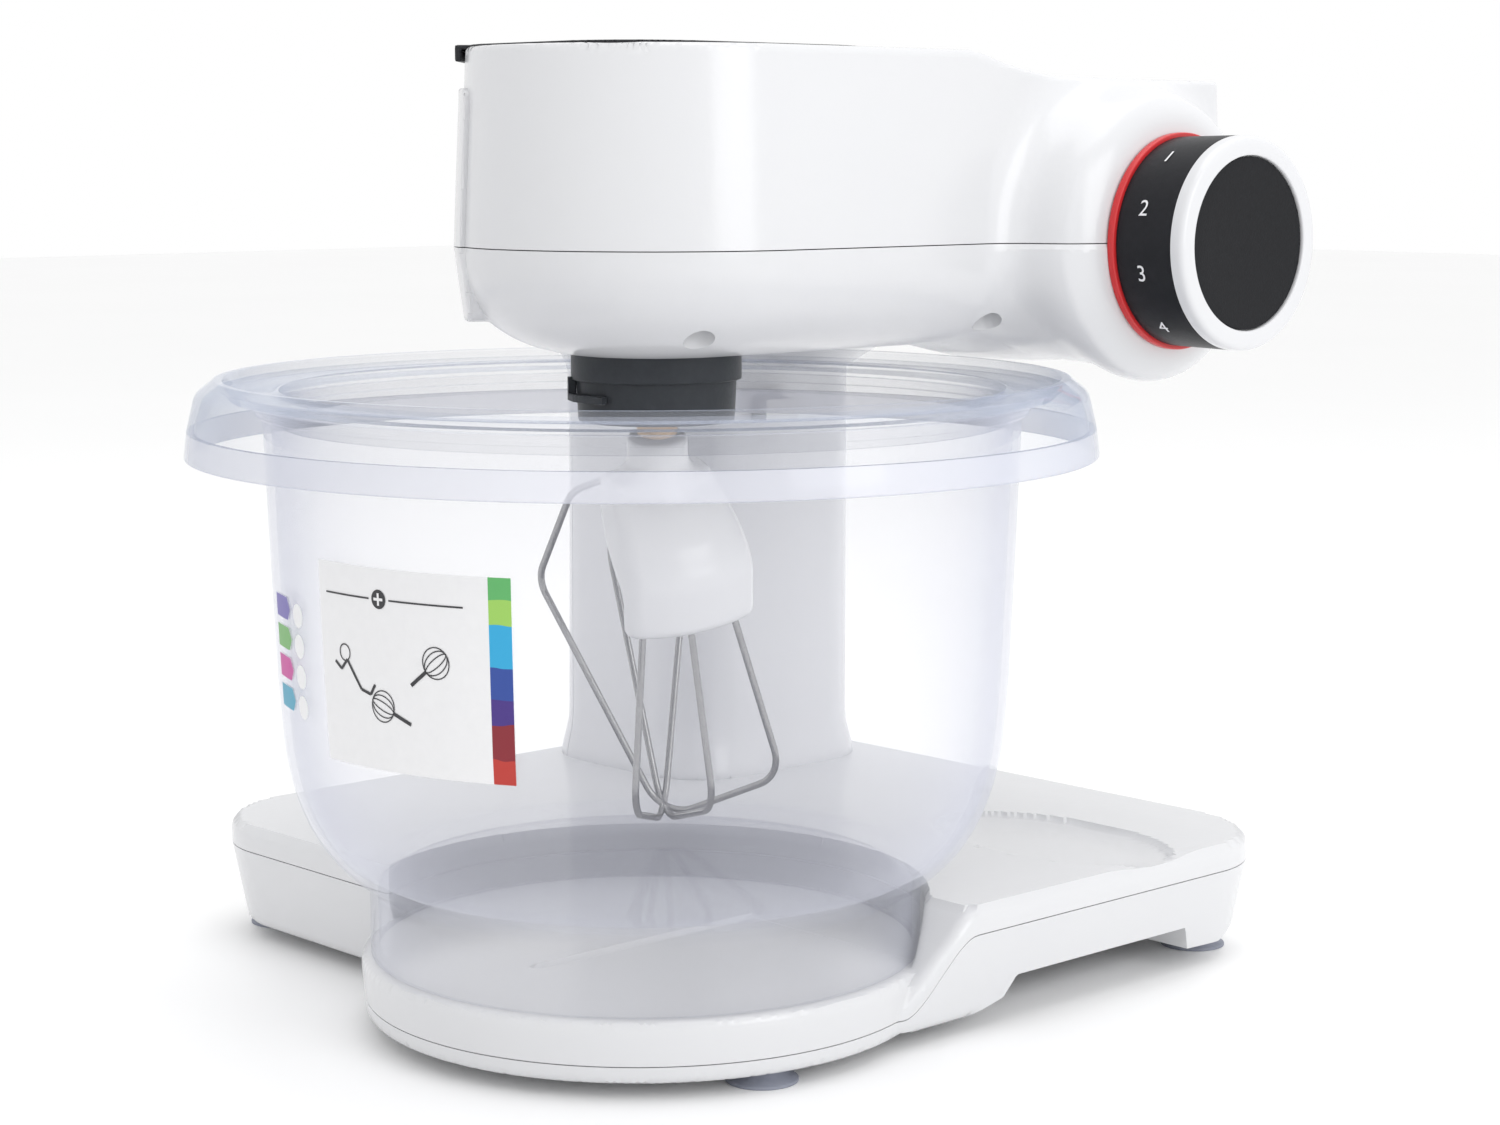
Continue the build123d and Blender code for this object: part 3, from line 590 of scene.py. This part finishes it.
def base_arch(x, y, z):
    """Outside of the arch under the right side, between the seat and the rear foot."""
    rise = np.interp(y.ravel(), ARCH_PLACES, ARCH_RISES).reshape(y.shape)
    under = np.maximum(z - rise, 60 - x)
    back = np.hypot(x, y) - DISC_RADIUS + 1
    return -np.maximum(under, -back)


def make_column():
    def column(x, y, z):
        flare = 10 * smooth_step((LOBE_TOP + 22 - z) / 22.0) ** 2
        lean = 1.2 * smooth_step((150 - z) / 110.0)
        wide, deep = (column_low.x - lean, column_high.x), (column_low_y, column_high_y)
        post = oblong(x, y, wide, deep, 22) - flare * 0.3
        post = both(post, z - pivot.z, 2)
        radius = HEAD_STEP - pivot.z
        radial = np.hypot(y - pivot.y, z - pivot.z) - radius
        drum = both(radial, slab(x, column_low.x, column_high.x), 5)
        return both(either(post, drum, 14), LOBE_TOP - 0.2 - z, 0.2)

    column_low_y, column_high_y = 115.0, 206.0
    low = (column_low.x - 12, 92, LOBE_TOP - 3)
    high = (column_high.x + 9, 214, HEAD_STEP + 3)
    seam = column_low.x + 14
    post = solid("column_post", [column, lambda x, y, z: seam + SEAM - x], low, high, 1.6, gloss)
    side_fields = [column, lambda x, y, z: x - seam + SEAM, button_hole]
    side = solid("column_side", side_fields, low, (seam + 2, high[1], high[2]), 1.6, gloss)
    for piece in (post, side):
        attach(piece, "base")
    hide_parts("column_shell")


def button_hole(x, y, z):
    low, high = node_box("release_button")
    return 14.6 - np.hypot(y - (low.y + high.y) / 2, z - (low.z + high.z) / 2)


make_head()
make_top_cover()
make_base()
make_column()


# ---- turned pieces -------------------------------------------------------------------------------
def profile(corners):
    """Outline through (radius, height, rounding) corners, with each corner rounded by an arc."""
    line = []
    count = len(corners)
    for number, (r, h, rounding) in enumerate(corners):
        here = Vector((r, h))
        before = Vector(corners[number - 1][:2])
        after = Vector(corners[(number + 1) % count][:2])
        if rounding <= 0:
            line.append(here)
            continue
        a, b = (before - here), (after - here)
        reach = min(rounding, a.length * 0.49, b.length * 0.49)
        a, b = here + a.normalized() * reach, here + b.normalized() * reach
        for t in np.linspace(0, 1, 6):
            line.append(a * (1 - t) ** 2 + here * 2 * t * (1 - t) + b * t * t)
    return line


def turned(name, corners, finish, centre=(0, 0, 0), axis=(0, 0, 1), segments=160, sharp=32):
    """Ring or disc turned about an axis through centre from a closed outline."""
    line = profile(corners)
    spin = Vector((0, 0, 1)).rotation_difference(Vector(axis)).to_matrix()
    points, faces = [], []
    turns = [2 * math.pi * k / segments for k in range(segments)]
    rings = []
    for p in line:
        if p.x < 1e-6:
            rings.append([len(points)])
            points.append(spin @ Vector((0, 0, p.y)) + Vector(centre))
        else:
            rings.append(list(range(len(points), len(points) + segments)))
            circle = [Vector((p.x * math.cos(t), p.x * math.sin(t), p.y)) for t in turns]
            points += [spin @ spot + Vector(centre) for spot in circle]
    for number, ring in enumerate(rings):
        after = rings[(number + 1) % len(rings)]
        if len(ring) == 1 and len(after) == 1:
            continue
        for k in range(segments):
            n = (k + 1) % segments
            if len(ring) == 1:
                faces.append([ring[0], after[n], after[k]])
            elif len(after) == 1:
                faces.append([ring[k], ring[n], after[0]])
            else:
                faces.append([ring[k], ring[n], after[n], after[k]])
    piece = new_piece(name, points, faces, finish, sharp)
    mend = bmesh.new()
    mend.from_mesh(piece.data)
    bmesh.ops.recalc_face_normals(mend, faces=mend.faces)
    mend.to_mesh(piece.data)
    mend.free()
    return piece


def make_dial():
    y, z = pivot.y, pivot.z
    ring_radius = (ring_high.y - ring_low.y) / 2
    radius = (dial_high.y - dial_low.y) / 2
    x0, x1 = ring_low.x, ring_high.x
    along = (1, 0, 0)
    corners = [(8, x0, 0.3), (ring_radius, x0, 0.5), (ring_radius, x1, 0.7), (8, x1, 0.3)]
    ring = turned("dial_red_ring", corners, accent_red, (0, y, z), along)
    face = dial_high.x
    barrel = turned(
        "dial_barrel",
        [(0, x1 + 0.05, 0), (radius - 0.4, x1 + 0.05, 0.4), (radius, face, 0.2), (0, face, 0)],
        dial_black,
        (0, y, z),
        along,
    )
    inner = (disc_high.y - disc_low.y) / 2
    end = rim_high.x
    rim = turned(
        "dial_white_rim",
        [
            (0, face + 0.05, 0),
            (radius, face + 0.05, 0.3),
            (radius, end, 3.2),
            (inner + 0.3, end, 0.8),
            (inner + 0.3, end - 2.5, 0),
            (0, end - 2.5, 0),
        ],
        gloss,
        (0, y, z),
        along,
    )
    disc = turned(
        "dial_disc",
        [
            (0, end - 2.45, 0),
            (inner, end - 2.45, 0.2),
            (inner, end - 0.9, 0.5),
            (inner * 0.5, end - 1.35, 8),
            (0, end - 1.5, 0),
        ],
        disc_black,
        (0, y, z),
        along,
    )
    for piece, node, slot in (
        (ring, "dial_ring", "accent_red"),
        (barrel, "dial_body", "dial_black"),
        (rim, "dial_rim", "shell_white"),
        (disc, "dial_end_disc", "dial_disc"),
    ):
        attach(piece, "dial")
        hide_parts(node)


make_dial()


def collar_rib_field(x, y, z):
    """Ramp that locks the bowl: a ledge round part of the collar, with a stop at its left end."""
    x, y = x - drive.x, y - drive.y
    turn = np.degrees(np.arctan2(y, x))
    band = slab(np.hypot(x, y), COLLAR_RADIUS - 1.5, COLLAR_RADIUS + 1.1)
    ledge = np.maximum(slab(turn, -122, -78) * 0.4, slab(z, 197.2, 199.6))
    stop = np.maximum(slab(turn, -128, -121) * 0.4, slab(z, 197.2, 204.5))
    return np.maximum(band, np.minimum(ledge, stop))


def make_collar():
    r = (collar_high.x - collar_low.x) / 2 - 4
    z0 = collar_low.z
    flange = z0 + 13.0
    collar = turned(
        "collar_body",
        [
            (r - 4, z0, 0.6),
            (r - 2.2, z0, 3.0),
            (r - 1.6, flange, 0),
            (r, flange, 0.6),
            (r, HEAD_BOTTOM + 3, 0),
            (r - 4, HEAD_BOTTOM + 3, 0),
        ],
        collar_grey,
        (drive.x, drive.y, 0),
    )
    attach(collar, "head")
    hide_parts("drive_collar")
    rib = solid("collar_rib", [collar_rib_field], (-36, -36, 190), (36, 36, 206), 0.7, collar_grey)
    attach(rib, "head")


make_collar()


# ---- bowl ----------------------------------------------------------------------------------------
def bowl_radius_at(z):
    """Outer radius of the bowl's wall at a height."""
    heights = [48.0, 50, 54, 60, 66, 72, 80, 90, 105, 125, 150, 175, rim_z]
    radii = [88.5, 91.5, 96.5, 101.5, 105.2, 107.8, 110.4, 112.3, 113.6, 114.6, 115.6, 116.5, 117.3]
    return float(np.interp(z, heights, radii))


def make_bowl():
    wall = 2.5
    outer = [(FOOT_RADIUS, seat_z, 0.5), (FOOT_RADIUS, 45.5, 0)]
    spots = list(np.linspace(48, 112, 24)) + list(np.linspace(122, rim_z - 4, 7))
    raw = np.array([bowl_radius_at(z) for z in spots])
    for _ in range(2):
        raw[1:-1] = (raw[:-2] + 2 * raw[1:-1] + raw[2:]) / 4
    outer += [(float(r), float(z), 0) for r, z in zip(raw, spots)]
    lip = BOWL_RADIUS + 2.4
    outer += [(BOWL_RADIUS + 0.2, rim_z - 3.2, 0.4), (lip, rim_z - 3, 0.5), (lip, rim_z, 0.8)]
    inner = [(BOWL_RADIUS - wall, rim_z, 0.6)]
    inner += [(float(r) - wall, float(z), 0) for r, z in reversed(list(zip(raw, spots))) if z > 54]
    inner += [(FOOT_RADIUS, BOWL_FLOOR + 0.6, 2.5), (70, BOWL_FLOOR, 0), (0, BOWL_FLOOR, 0)]
    foot = FOOT_RADIUS - wall
    under = [(0, BOWL_FLOOR - 3, 0), (80, BOWL_FLOOR - 3, 1.0), (foot, 45, 0.5), (foot, seat_z, 0.5)]
    bowl = turned("bowl_clear_body", outer + inner + under, bowl_clear, segments=192, sharp=50)
    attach(bowl, "bowl")
    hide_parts("bowl")


make_bowl()


def make_lid():
    r, z0, z1 = lid_high.x, lid_low.z, lid_high.z
    wall = 2.0
    band = z0 + 8.5
    skirt = turned(
        "lid_band",
        [(r - wall - 0.1, z0, 0.6), (r, z0, 0.8), (r - 1.0, band, 0), (r - 1.0 - wall, band, 0)],
        lid_frost,
        segments=192,
    )
    lid = turned(
        "lid_ring",
        [
            (r - 1.0 - wall, band, 0),
            (r - 1.0, band, 0),
            (r - 3.6, z1 - 4.5, 2.0),
            (r - 8.5, z1 - 0.8, 1.6),
            (r - 9.2, z1, 0.5),
            (r - 12.0, z1, 0.8),
            (r - 13.0, z1 - 4.0, 0.8),
            (115, z1 - 4.4, 1.0),
            (112, z1 - 3.2, 0.6),
            (111.8, z1 - 6.4, 0.6),
            (111.6, rim_z - 6, 0.3),
            (113.2, rim_z - 6, 0.3),
            (113.4, z1 - 6.6, 0.5),
            (r - 14.0, z1 - 6.2, 0.8),
            (r - 10.4, z1 - 2.6, 0.8),
            (r - 5.8, z1 - 6.0, 1.6),
        ],
        lid_clear,
        segments=192,
    )
    for piece in (skirt, lid):
        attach(piece, "lid")
    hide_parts("splash_lid")


make_lid()


def rounded_path(corners, radius):
    """Points along a polyline whose corners are rounded by arcs."""
    path = [Vector(corners[0])]
    for before, here, after in zip(corners[:-2], corners[1:-1], corners[2:]):
        here = Vector(here)
        a, b = (Vector(before) - here).normalized(), (Vector(after) - here).normalized()
        half = a.angle(b) / 2
        reach = radius / math.tan(half)
        centre = here + (a + b).normalized() * radius / math.sin(half)
        start, end = here + a * reach - centre, here + b * reach - centre
        whole = start.angle(end)
        for t in np.linspace(0, 1, 13):
            swing = start * math.sin((1 - t) * whole) + end * math.sin(t * whole)
            path.append(centre + swing / math.sin(whole))
    return path + [Vector(corners[-1])]


def tube(name, path, radius, finish, sides=14):
    """Round wire along a path."""
    points, faces = [], []
    across = None
    for number, here in enumerate(path):
        way = (path[min(number + 1, len(path) - 1)] - path[max(number - 1, 0)]).normalized()
        across = way.orthogonal() if across is None else across - way * across.dot(way)
        across.normalize()
        other = way.cross(across)
        for k in range(sides):
            turn = 2 * math.pi * k / sides
            points.append(here + (across * math.cos(turn) + other * math.sin(turn)) * radius)
    for ring in range(len(path) - 1):
        for k in range(sides):
            n = (k + 1) % sides
            faces.append([ring * sides + k, ring * sides + n, (ring + 1) * sides + n, (ring + 1) * sides + k])
    faces.append(list(range(sides))[::-1])
    faces.append([len(points) - sides + k for k in range(sides)])
    return new_piece(name, points, faces, finish, 50)


def on_tool(piece):
    """Bring a piece that was drawn along +Z about the origin onto the tilted tool axis."""
    drawn = Matrix.Translation(origin)
    tilted = Matrix.Translation(tool_point * MM + origin) @ tool_frame.to_4x4()
    piece.data.transform(tilted @ drawn.inverted())
    return piece


WIRE_HEADINGS = (65.6, 24.2, -9.9)
BILL_MIDDLE = math.radians(27)


def whisk_body_field(x, y, z):
    """White body of the whisk: a round neck and a hood that leans over into a wide bill."""
    along = x * math.sin(BILL_MIDDLE) + y * math.cos(BILL_MIDDLE)
    across = x * math.cos(BILL_MIDDLE) - y * math.sin(BILL_MIDDLE)
    neck = both(np.hypot(x, y) - 9.5, slab(z, 15, 44), 1.5)
    t = np.clip((z - 30) / 27.0, 0, 1)
    wide = 17.5 + 5.0 * np.sin(t * math.pi / 2)
    back = -9.0 + 27.0 * t**1.4
    front = 10.5 + 21.0 * np.sin(t * math.pi / 2) - (across / 22.0) ** 2 * 6
    hood = both(np.abs(across) - wide, np.maximum(back - along, along - front) * 0.8, 4.5)
    hood = both(hood, slab(z, 27, 71.5) * 0.9, 3.0)
    return either(neck, hood, 5)


def make_whisk():
    body = on_tool(solid("whisk_hood", [whisk_body_field], (-32, -32, 12), (34, 36, 76), 1.1, gloss, 60))
    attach(body, "tool")
    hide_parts("whisk_body")
    corners = [(22, 0, 60), (43.2, 0, 127), (0, 0, 153.5), (-44.5, 0, 74), (-31, 0, 40), (-6, 0, 27)]
    for number, heading in enumerate(WIRE_HEADINGS):
        turn = Matrix.Rotation(math.radians(90 - heading), 3, "Z")
        path = [turn @ p for p in rounded_path(corners, 12)]
        wire = tube(f"whisk_wire_{number + 1}", path, 1.15, wire_steel)
        on_tool(wire)
        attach(wire, "tool")
        if number == 0:
            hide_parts("whisk_wires")


make_whisk()


def on_bowl(name, shapes, finish, lift, heading, height, cell=2.0):
    """Flat shapes, given by their corners in millimetres across and up, laid on the bowl's wall."""
    mesh = bmesh.new()
    for shape in shapes:
        mesh.faces.new([mesh.verts.new((u, v, 0)) for u, v in shape])
    low = [min(v.co[k] for v in mesh.verts) for k in (0, 1)]
    high = [max(v.co[k] for v in mesh.verts) for k in (0, 1)]
    for k in (0, 1):
        normal = Vector((1, 0, 0)) if k == 0 else Vector((0, 1, 0))
        for place in np.arange(low[k] + cell, high[k], cell):
            everything = mesh.verts[:] + mesh.edges[:] + mesh.faces[:]
            bmesh.ops.bisect_plane(mesh, geom=everything, plane_co=normal * place, plane_no=normal)
    for vertex in mesh.verts:
        u, v = vertex.co.x, vertex.co.y + height
        radius = bowl_radius_at(v) + lift
        turn = heading + u / BOWL_RADIUS
        vertex.co = Vector((radius * math.cos(turn), radius * math.sin(turn), v)) * MM + origin
    bmesh.ops.recalc_face_normals(mesh, faces=mesh.faces)
    data = bpy.data.meshes.new(name)
    mesh.to_mesh(data)
    mesh.free()
    data.materials.append(finish.material)
    data.shade_smooth()
    piece = bpy.data.objects.new(name, data)
    bpy.context.scene.collection.objects.link(piece)
    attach(piece, "bowl")
    return piece


def rectangle(u0, v0, u1, v1):
    return [(u0, v0), (u1, v0), (u1, v1), (u0, v1)]


ROUND_STEPS = 28


def ring(u, v, radius, width=0.5, squash=1.0, count=ROUND_STEPS):
    """Outline circle, as short flat pieces."""
    spots = [(math.cos(2 * math.pi * k / count), math.sin(2 * math.pi * k / count)) for k in range(count)]
    shapes = []
    for (a, b), (c, d) in zip(spots, spots[1:] + spots[:1]):
        inner, outer = radius - width / 2, radius + width / 2
        shapes.append([(u + a * inner, v + b * inner * squash), (u + a * outer, v + b * outer * squash),
                       (u + c * outer, v + d * outer * squash), (u + c * inner, v + d * inner * squash)])
    return shapes


def stroke(points, width=0.5):
    """Line through points, as flat pieces."""
    shapes = []
    for (a, b), (c, d) in zip(points, points[1:]):
        length = math.hypot(c - a, d - b) or 1.0
        nu, nv = -(d - b) / length * width / 2, (c - a) / length * width / 2
        shapes.append([(a + nu, b + nv), (a - nu, b - nv), (c - nu, d - nv), (c + nu, d + nv)])
    return shapes


def disc(u, v, radius):
    turns = [2 * math.pi * k / ROUND_STEPS for k in range(ROUND_STEPS)]
    return [(u + radius * math.cos(t), v + radius * math.sin(t)) for t in turns]


def small_whisk(u, v, tilt):
    """Drawing of a balloon whisk, tilted."""
    c, n = math.cos(tilt), math.sin(tilt)
    shapes = []
    for wide in (1.2, 3.0, 4.6):
        turns = [math.pi * k / 12 for k in range(13)]
        loop = [(wide * math.sin(t), 9 * (1 - math.cos(t)) / 2 + 1) for t in turns]
        for sign in (1, -1):
            shapes += stroke([(u + c * sign * a - n * b, v + n * sign * a + c * b) for a, b in loop], 0.35)
    shapes += stroke([(u + n * 6, v - c * 6), (u - n * 1, v + c * 1)], 1.1)
    return shapes


def make_label():
    print_black, strip = ink("print_black", (0.03, 0.03, 0.035, 1)), strip_inks()
    start, end, low, high = math.radians(-95.2), math.radians(-59.5), 98.0, 157.0
    width = (end - start) * BOWL_RADIUS
    sheet = on_bowl("label_sheet", [rectangle(0, low, width - 7, high)], label_film, 0.35, start, 0)
    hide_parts("bowl_label")
    on_bowl("label_strip", [rectangle(width - 7, low, width, high)], strip, 0.35, start, 0)
    art = [disc(28, high - 9, 2.8)]
    art += [rectangle(4, high - 9.3, 24, high - 8.8), rectangle(32, high - 9.3, 58, high - 8.8)]
    art += stroke([(7, 128), (10, 126), (13, 129), (16, 125), (19, 121), (23, 120), (25, 123)], 0.9)
    art += ring(12, 131, 2.4, 0.4) + small_whisk(44, 128, -0.9) + small_whisk(33, 115, 1.2)
    on_bowl("label_art", art, print_black, 0.5, start, 0)
    cross = [rectangle(26.2, high - 9.4, 29.8, high - 8.6), rectangle(27.6, high - 10.8, 28.4, high - 7.2)]
    on_bowl("label_plus", cross, label_film, 0.62, start, 0)


TAG_COLOURS = ((0.16, 0.13, 0.42, 1), (0.16, 0.42, 0.12, 1), (0.55, 0.04, 0.3, 1), (0.05, 0.34, 0.5, 1))


def make_tags():
    start = math.radians(-115)
    for number, colour in enumerate(TAG_COLOURS):
        v = 139 - number * 9.2
        arrow = [(2, v - 3.4), (15, v - 3.4), (17.6, v), (15, v + 3.4), (2, v + 3.4)]
        tag = on_bowl(f"tag_{number + 1}", [arrow], ink(f"tag_ink_{number + 1}", colour), 0.4, start, 0)
        on_bowl(f"tag_spot_{number + 1}", [disc(24, v - 1, 3.6)], label_film, 0.3, start, 0)
        if number == 0:
            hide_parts("bowl_tag")


def ink(name, colour):
    """Printed colour with a little tooth."""
    f = Finish(name)
    darker = tuple(c * 0.82 for c in colour[:3]) + (1,)
    f.tinted(darker, colour, f.noise(600.0))
    f.feed("Roughness", 0.4 + f.noise(300.0) * 0.1)
    return f


def strip_inks():
    """Column of printed colours, one above the other."""
    f = Finish("strip_inks", Roughness=0.42)
    height = f.value("ShaderNodeSeparateXYZ", sockets={0: f.place()}, out="Z")
    share = (height - 0.097) * (1 / 0.0595) + (f.noise(120.0, 1.0) - 0.5) * 0.05
    stops = (
        (0.0, (0.45, 0.03, 0.02, 1)),
        (0.13, (0.22, 0.01, 0.02, 1)),
        (0.3, (0.05, 0.02, 0.2, 1)),
        (0.42, (0.02, 0.06, 0.3, 1)),
        (0.58, (0.02, 0.35, 0.62, 1)),
        (0.78, (0.3, 0.55, 0.1, 1)),
        (0.9, (0.1, 0.4, 0.12, 1)),
    )
    ramp = f.node("ShaderNodeValToRGB", {"stops": stops}, {"Fac": share})
    ramp.color_ramp.interpolation = "CONSTANT"
    f.feed("Base Color", Wave(f, ramp.outputs[0]))
    f.feed("Roughness", 0.4 + f.noise(300.0) * 0.1)
    return f


label_film = pebbled("label_film", (0.74, 0.74, 0.75, 1), (0.79, 0.79, 0.8, 1), 0.45, 900.0, 0.08)
make_label()
make_tags()


def make_numerals():
    """Figures 1 to 4 and a short mark, laid round the dial's barrel."""
    radius = (dial_high.y - dial_low.y) / 2 + 0.12
    middle = (ring_high.x + dial_high.x) / 2 - 1
    for text, turn in (("1", 53), ("2", 19), ("3", -16), ("4", -51), ("-", 84)):
        curve = bpy.data.curves.new(f"figure_{text}", "FONT")
        curve.body, curve.size = text, 7.4
        curve.align_x, curve.align_y = "CENTER", "CENTER"
        holder = bpy.data.objects.new(f"figure_{text}", curve)
        bpy.context.scene.collection.objects.link(holder)
        mesh = bpy.data.meshes.new_from_object(holder)
        bpy.data.objects.remove(holder)
        for vertex in mesh.vertices:
            u, v = vertex.co.x, vertex.co.y
            angle = math.radians(turn) + v / radius
            spot = (middle + u, pivot.y - radius * math.cos(angle), pivot.z + radius * math.sin(angle))
            vertex.co = Vector(to_row(spot))
        mesh.materials.clear()
        mesh.materials.append(numeral_white.material)
        piece = bpy.data.objects.new(f"dial_figure_{len(text) + turn}".replace("-", "m"), mesh)
        bpy.context.scene.collection.objects.link(piece)
        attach(piece, "dial")


make_numerals()


def make_front_socket():
    """Ring of the second drive, behind the panel on the nose."""
    def socket(x, y, z):
        along, across = along_nose(x, y)
        away = np.hypot(across, z - 264.0)
        return np.maximum(np.maximum(away - 12.5, 8 - away), slab(along, 49, 54.5))

    ring = solid("front_drive_ring", [socket], (-60, -60, 248), (-15, -15, 280), 0.9, collar_grey)
    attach(ring, "head")
    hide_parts("front_drive_socket")


make_front_socket()


def make_feet():
    places = [(74, -19), (-178, -18), (64, 196), (-172, 196)]
    for number, (x, y) in enumerate(places):
        cup = turned(
            f"suction_cup_{number + 1}",
            [
                (0, 1.2, 0),
                (6, 1.0, 0.5),
                (9.6, 0.0, 0),
                (11, 0.0, 0.3),
                (11, 0.9, 0.4),
                (7.4, 2.8, 1.5),
                (6.4, 6.5, 0.4),
                (0, 6.5, 0),
            ],
            foot_rubber,
            (x, y, 0),
            segments=64,
        )
        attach(cup, "base")
        if number == 0:
            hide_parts("suction_feet")


make_feet()

# ---- finishes of the pieces that the frame keeps ---------------------------------------------------
finish_of_slot = {
    "shell_white": gloss,
    "cover_dark": cover_dark,
    "collar_grey": collar_grey,
    "dial_black": dial_black,
    "dial_disc": disc_black,
    "accent_red": accent_red,
    "foot_rubber": foot_rubber,
    "clear_bowl": bowl_clear,
    "clear_lid": lid_clear,
    "label_paper": numeral_white,
    "steel": wire_steel,
    "steel_plain": plated_steel,
    "bronze": bronze,
    "iron": iron,
    "copper": copper,
    "belt_rubber": belt_black,
    "gear_plastic": acetal,
    "board_green": board_green,
}
for row in frame["record"]["subparts"]:
    node = frame["nodes"][row["node"]]
    node.data.materials.clear()
    node.data.materials.append(finish_of_slot[row["material_slot"]].material)


# ---- camera, floor and light -----------------------------------------------------------------------
def make_camera():
    data = bpy.data.cameras.new("studio_camera")
    camera = bpy.data.objects.new("studio_camera", data)
    bpy.context.scene.collection.objects.link(camera)
    data.lens, data.sensor_width, data.clip_start = 72.0, 36.0, 0.05
    heading, pitch = math.radians(47.0), math.radians(7.9)
    level = Vector((-math.sin(heading), math.cos(heading), 0))
    right = Vector((math.cos(heading), math.sin(heading), 0))
    camera.location = origin + (right * 33 - level * 930) * MM + Vector((0, 0, 0.275))
    look = level * math.cos(pitch) - Vector((0, 0, 1)) * math.sin(pitch)
    camera.rotation_euler = look.to_track_quat("-Z", "Y").to_euler()
    bpy.context.scene.camera = camera


def make_floor():
    points = [(-1, -1), (1, -1), (1, 1), (-1, 1)]
    mesh = bpy.data.meshes.new("studio_floor")
    mesh.from_pydata([(x * 6, y * 6, 0) for x, y in points], [], [(0, 1, 2, 3)])
    floor = bpy.data.objects.new("studio_floor", mesh)
    bpy.context.scene.collection.objects.link(floor)
    paint = Finish("floor_paint", Roughness=0.55)
    paint.tinted((0.93, 0.93, 0.93, 1), (0.96, 0.96, 0.96, 1), paint.noise(2.0))
    mesh.materials.append(paint.material)


def area_light(name, place, target, size, power):
    data = bpy.data.lights.new(name, "AREA")
    data.shape, data.size, data.size_y, data.energy = "RECTANGLE", size[0], size[1], power
    light = bpy.data.objects.new(name, data)
    light.location = place
    light.rotation_euler = (Vector(target) - Vector(place)).to_track_quat("-Z", "Y").to_euler()
    bpy.context.scene.collection.objects.link(light)


def make_light():
    world = bpy.data.worlds.new("studio_sky")
    bpy.context.scene.world = world
    world.use_nodes = True
    world.node_tree.nodes["Background"].inputs[0].default_value = (1, 1, 1, 1)
    world.node_tree.nodes["Background"].inputs[1].default_value = 1.0
    area_light("top_box", (0.2, 0.2, 1.5), (0, 0, 0.1), (1.2, 1.2), 7)
    area_light("right_box", (1.5, 0.1, 0.7), (0, 0, 0.2), (0.7, 1.0), 6)
    bpy.context.scene.view_settings.view_transform = "Standard"


make_camera()
make_floor()
make_light()
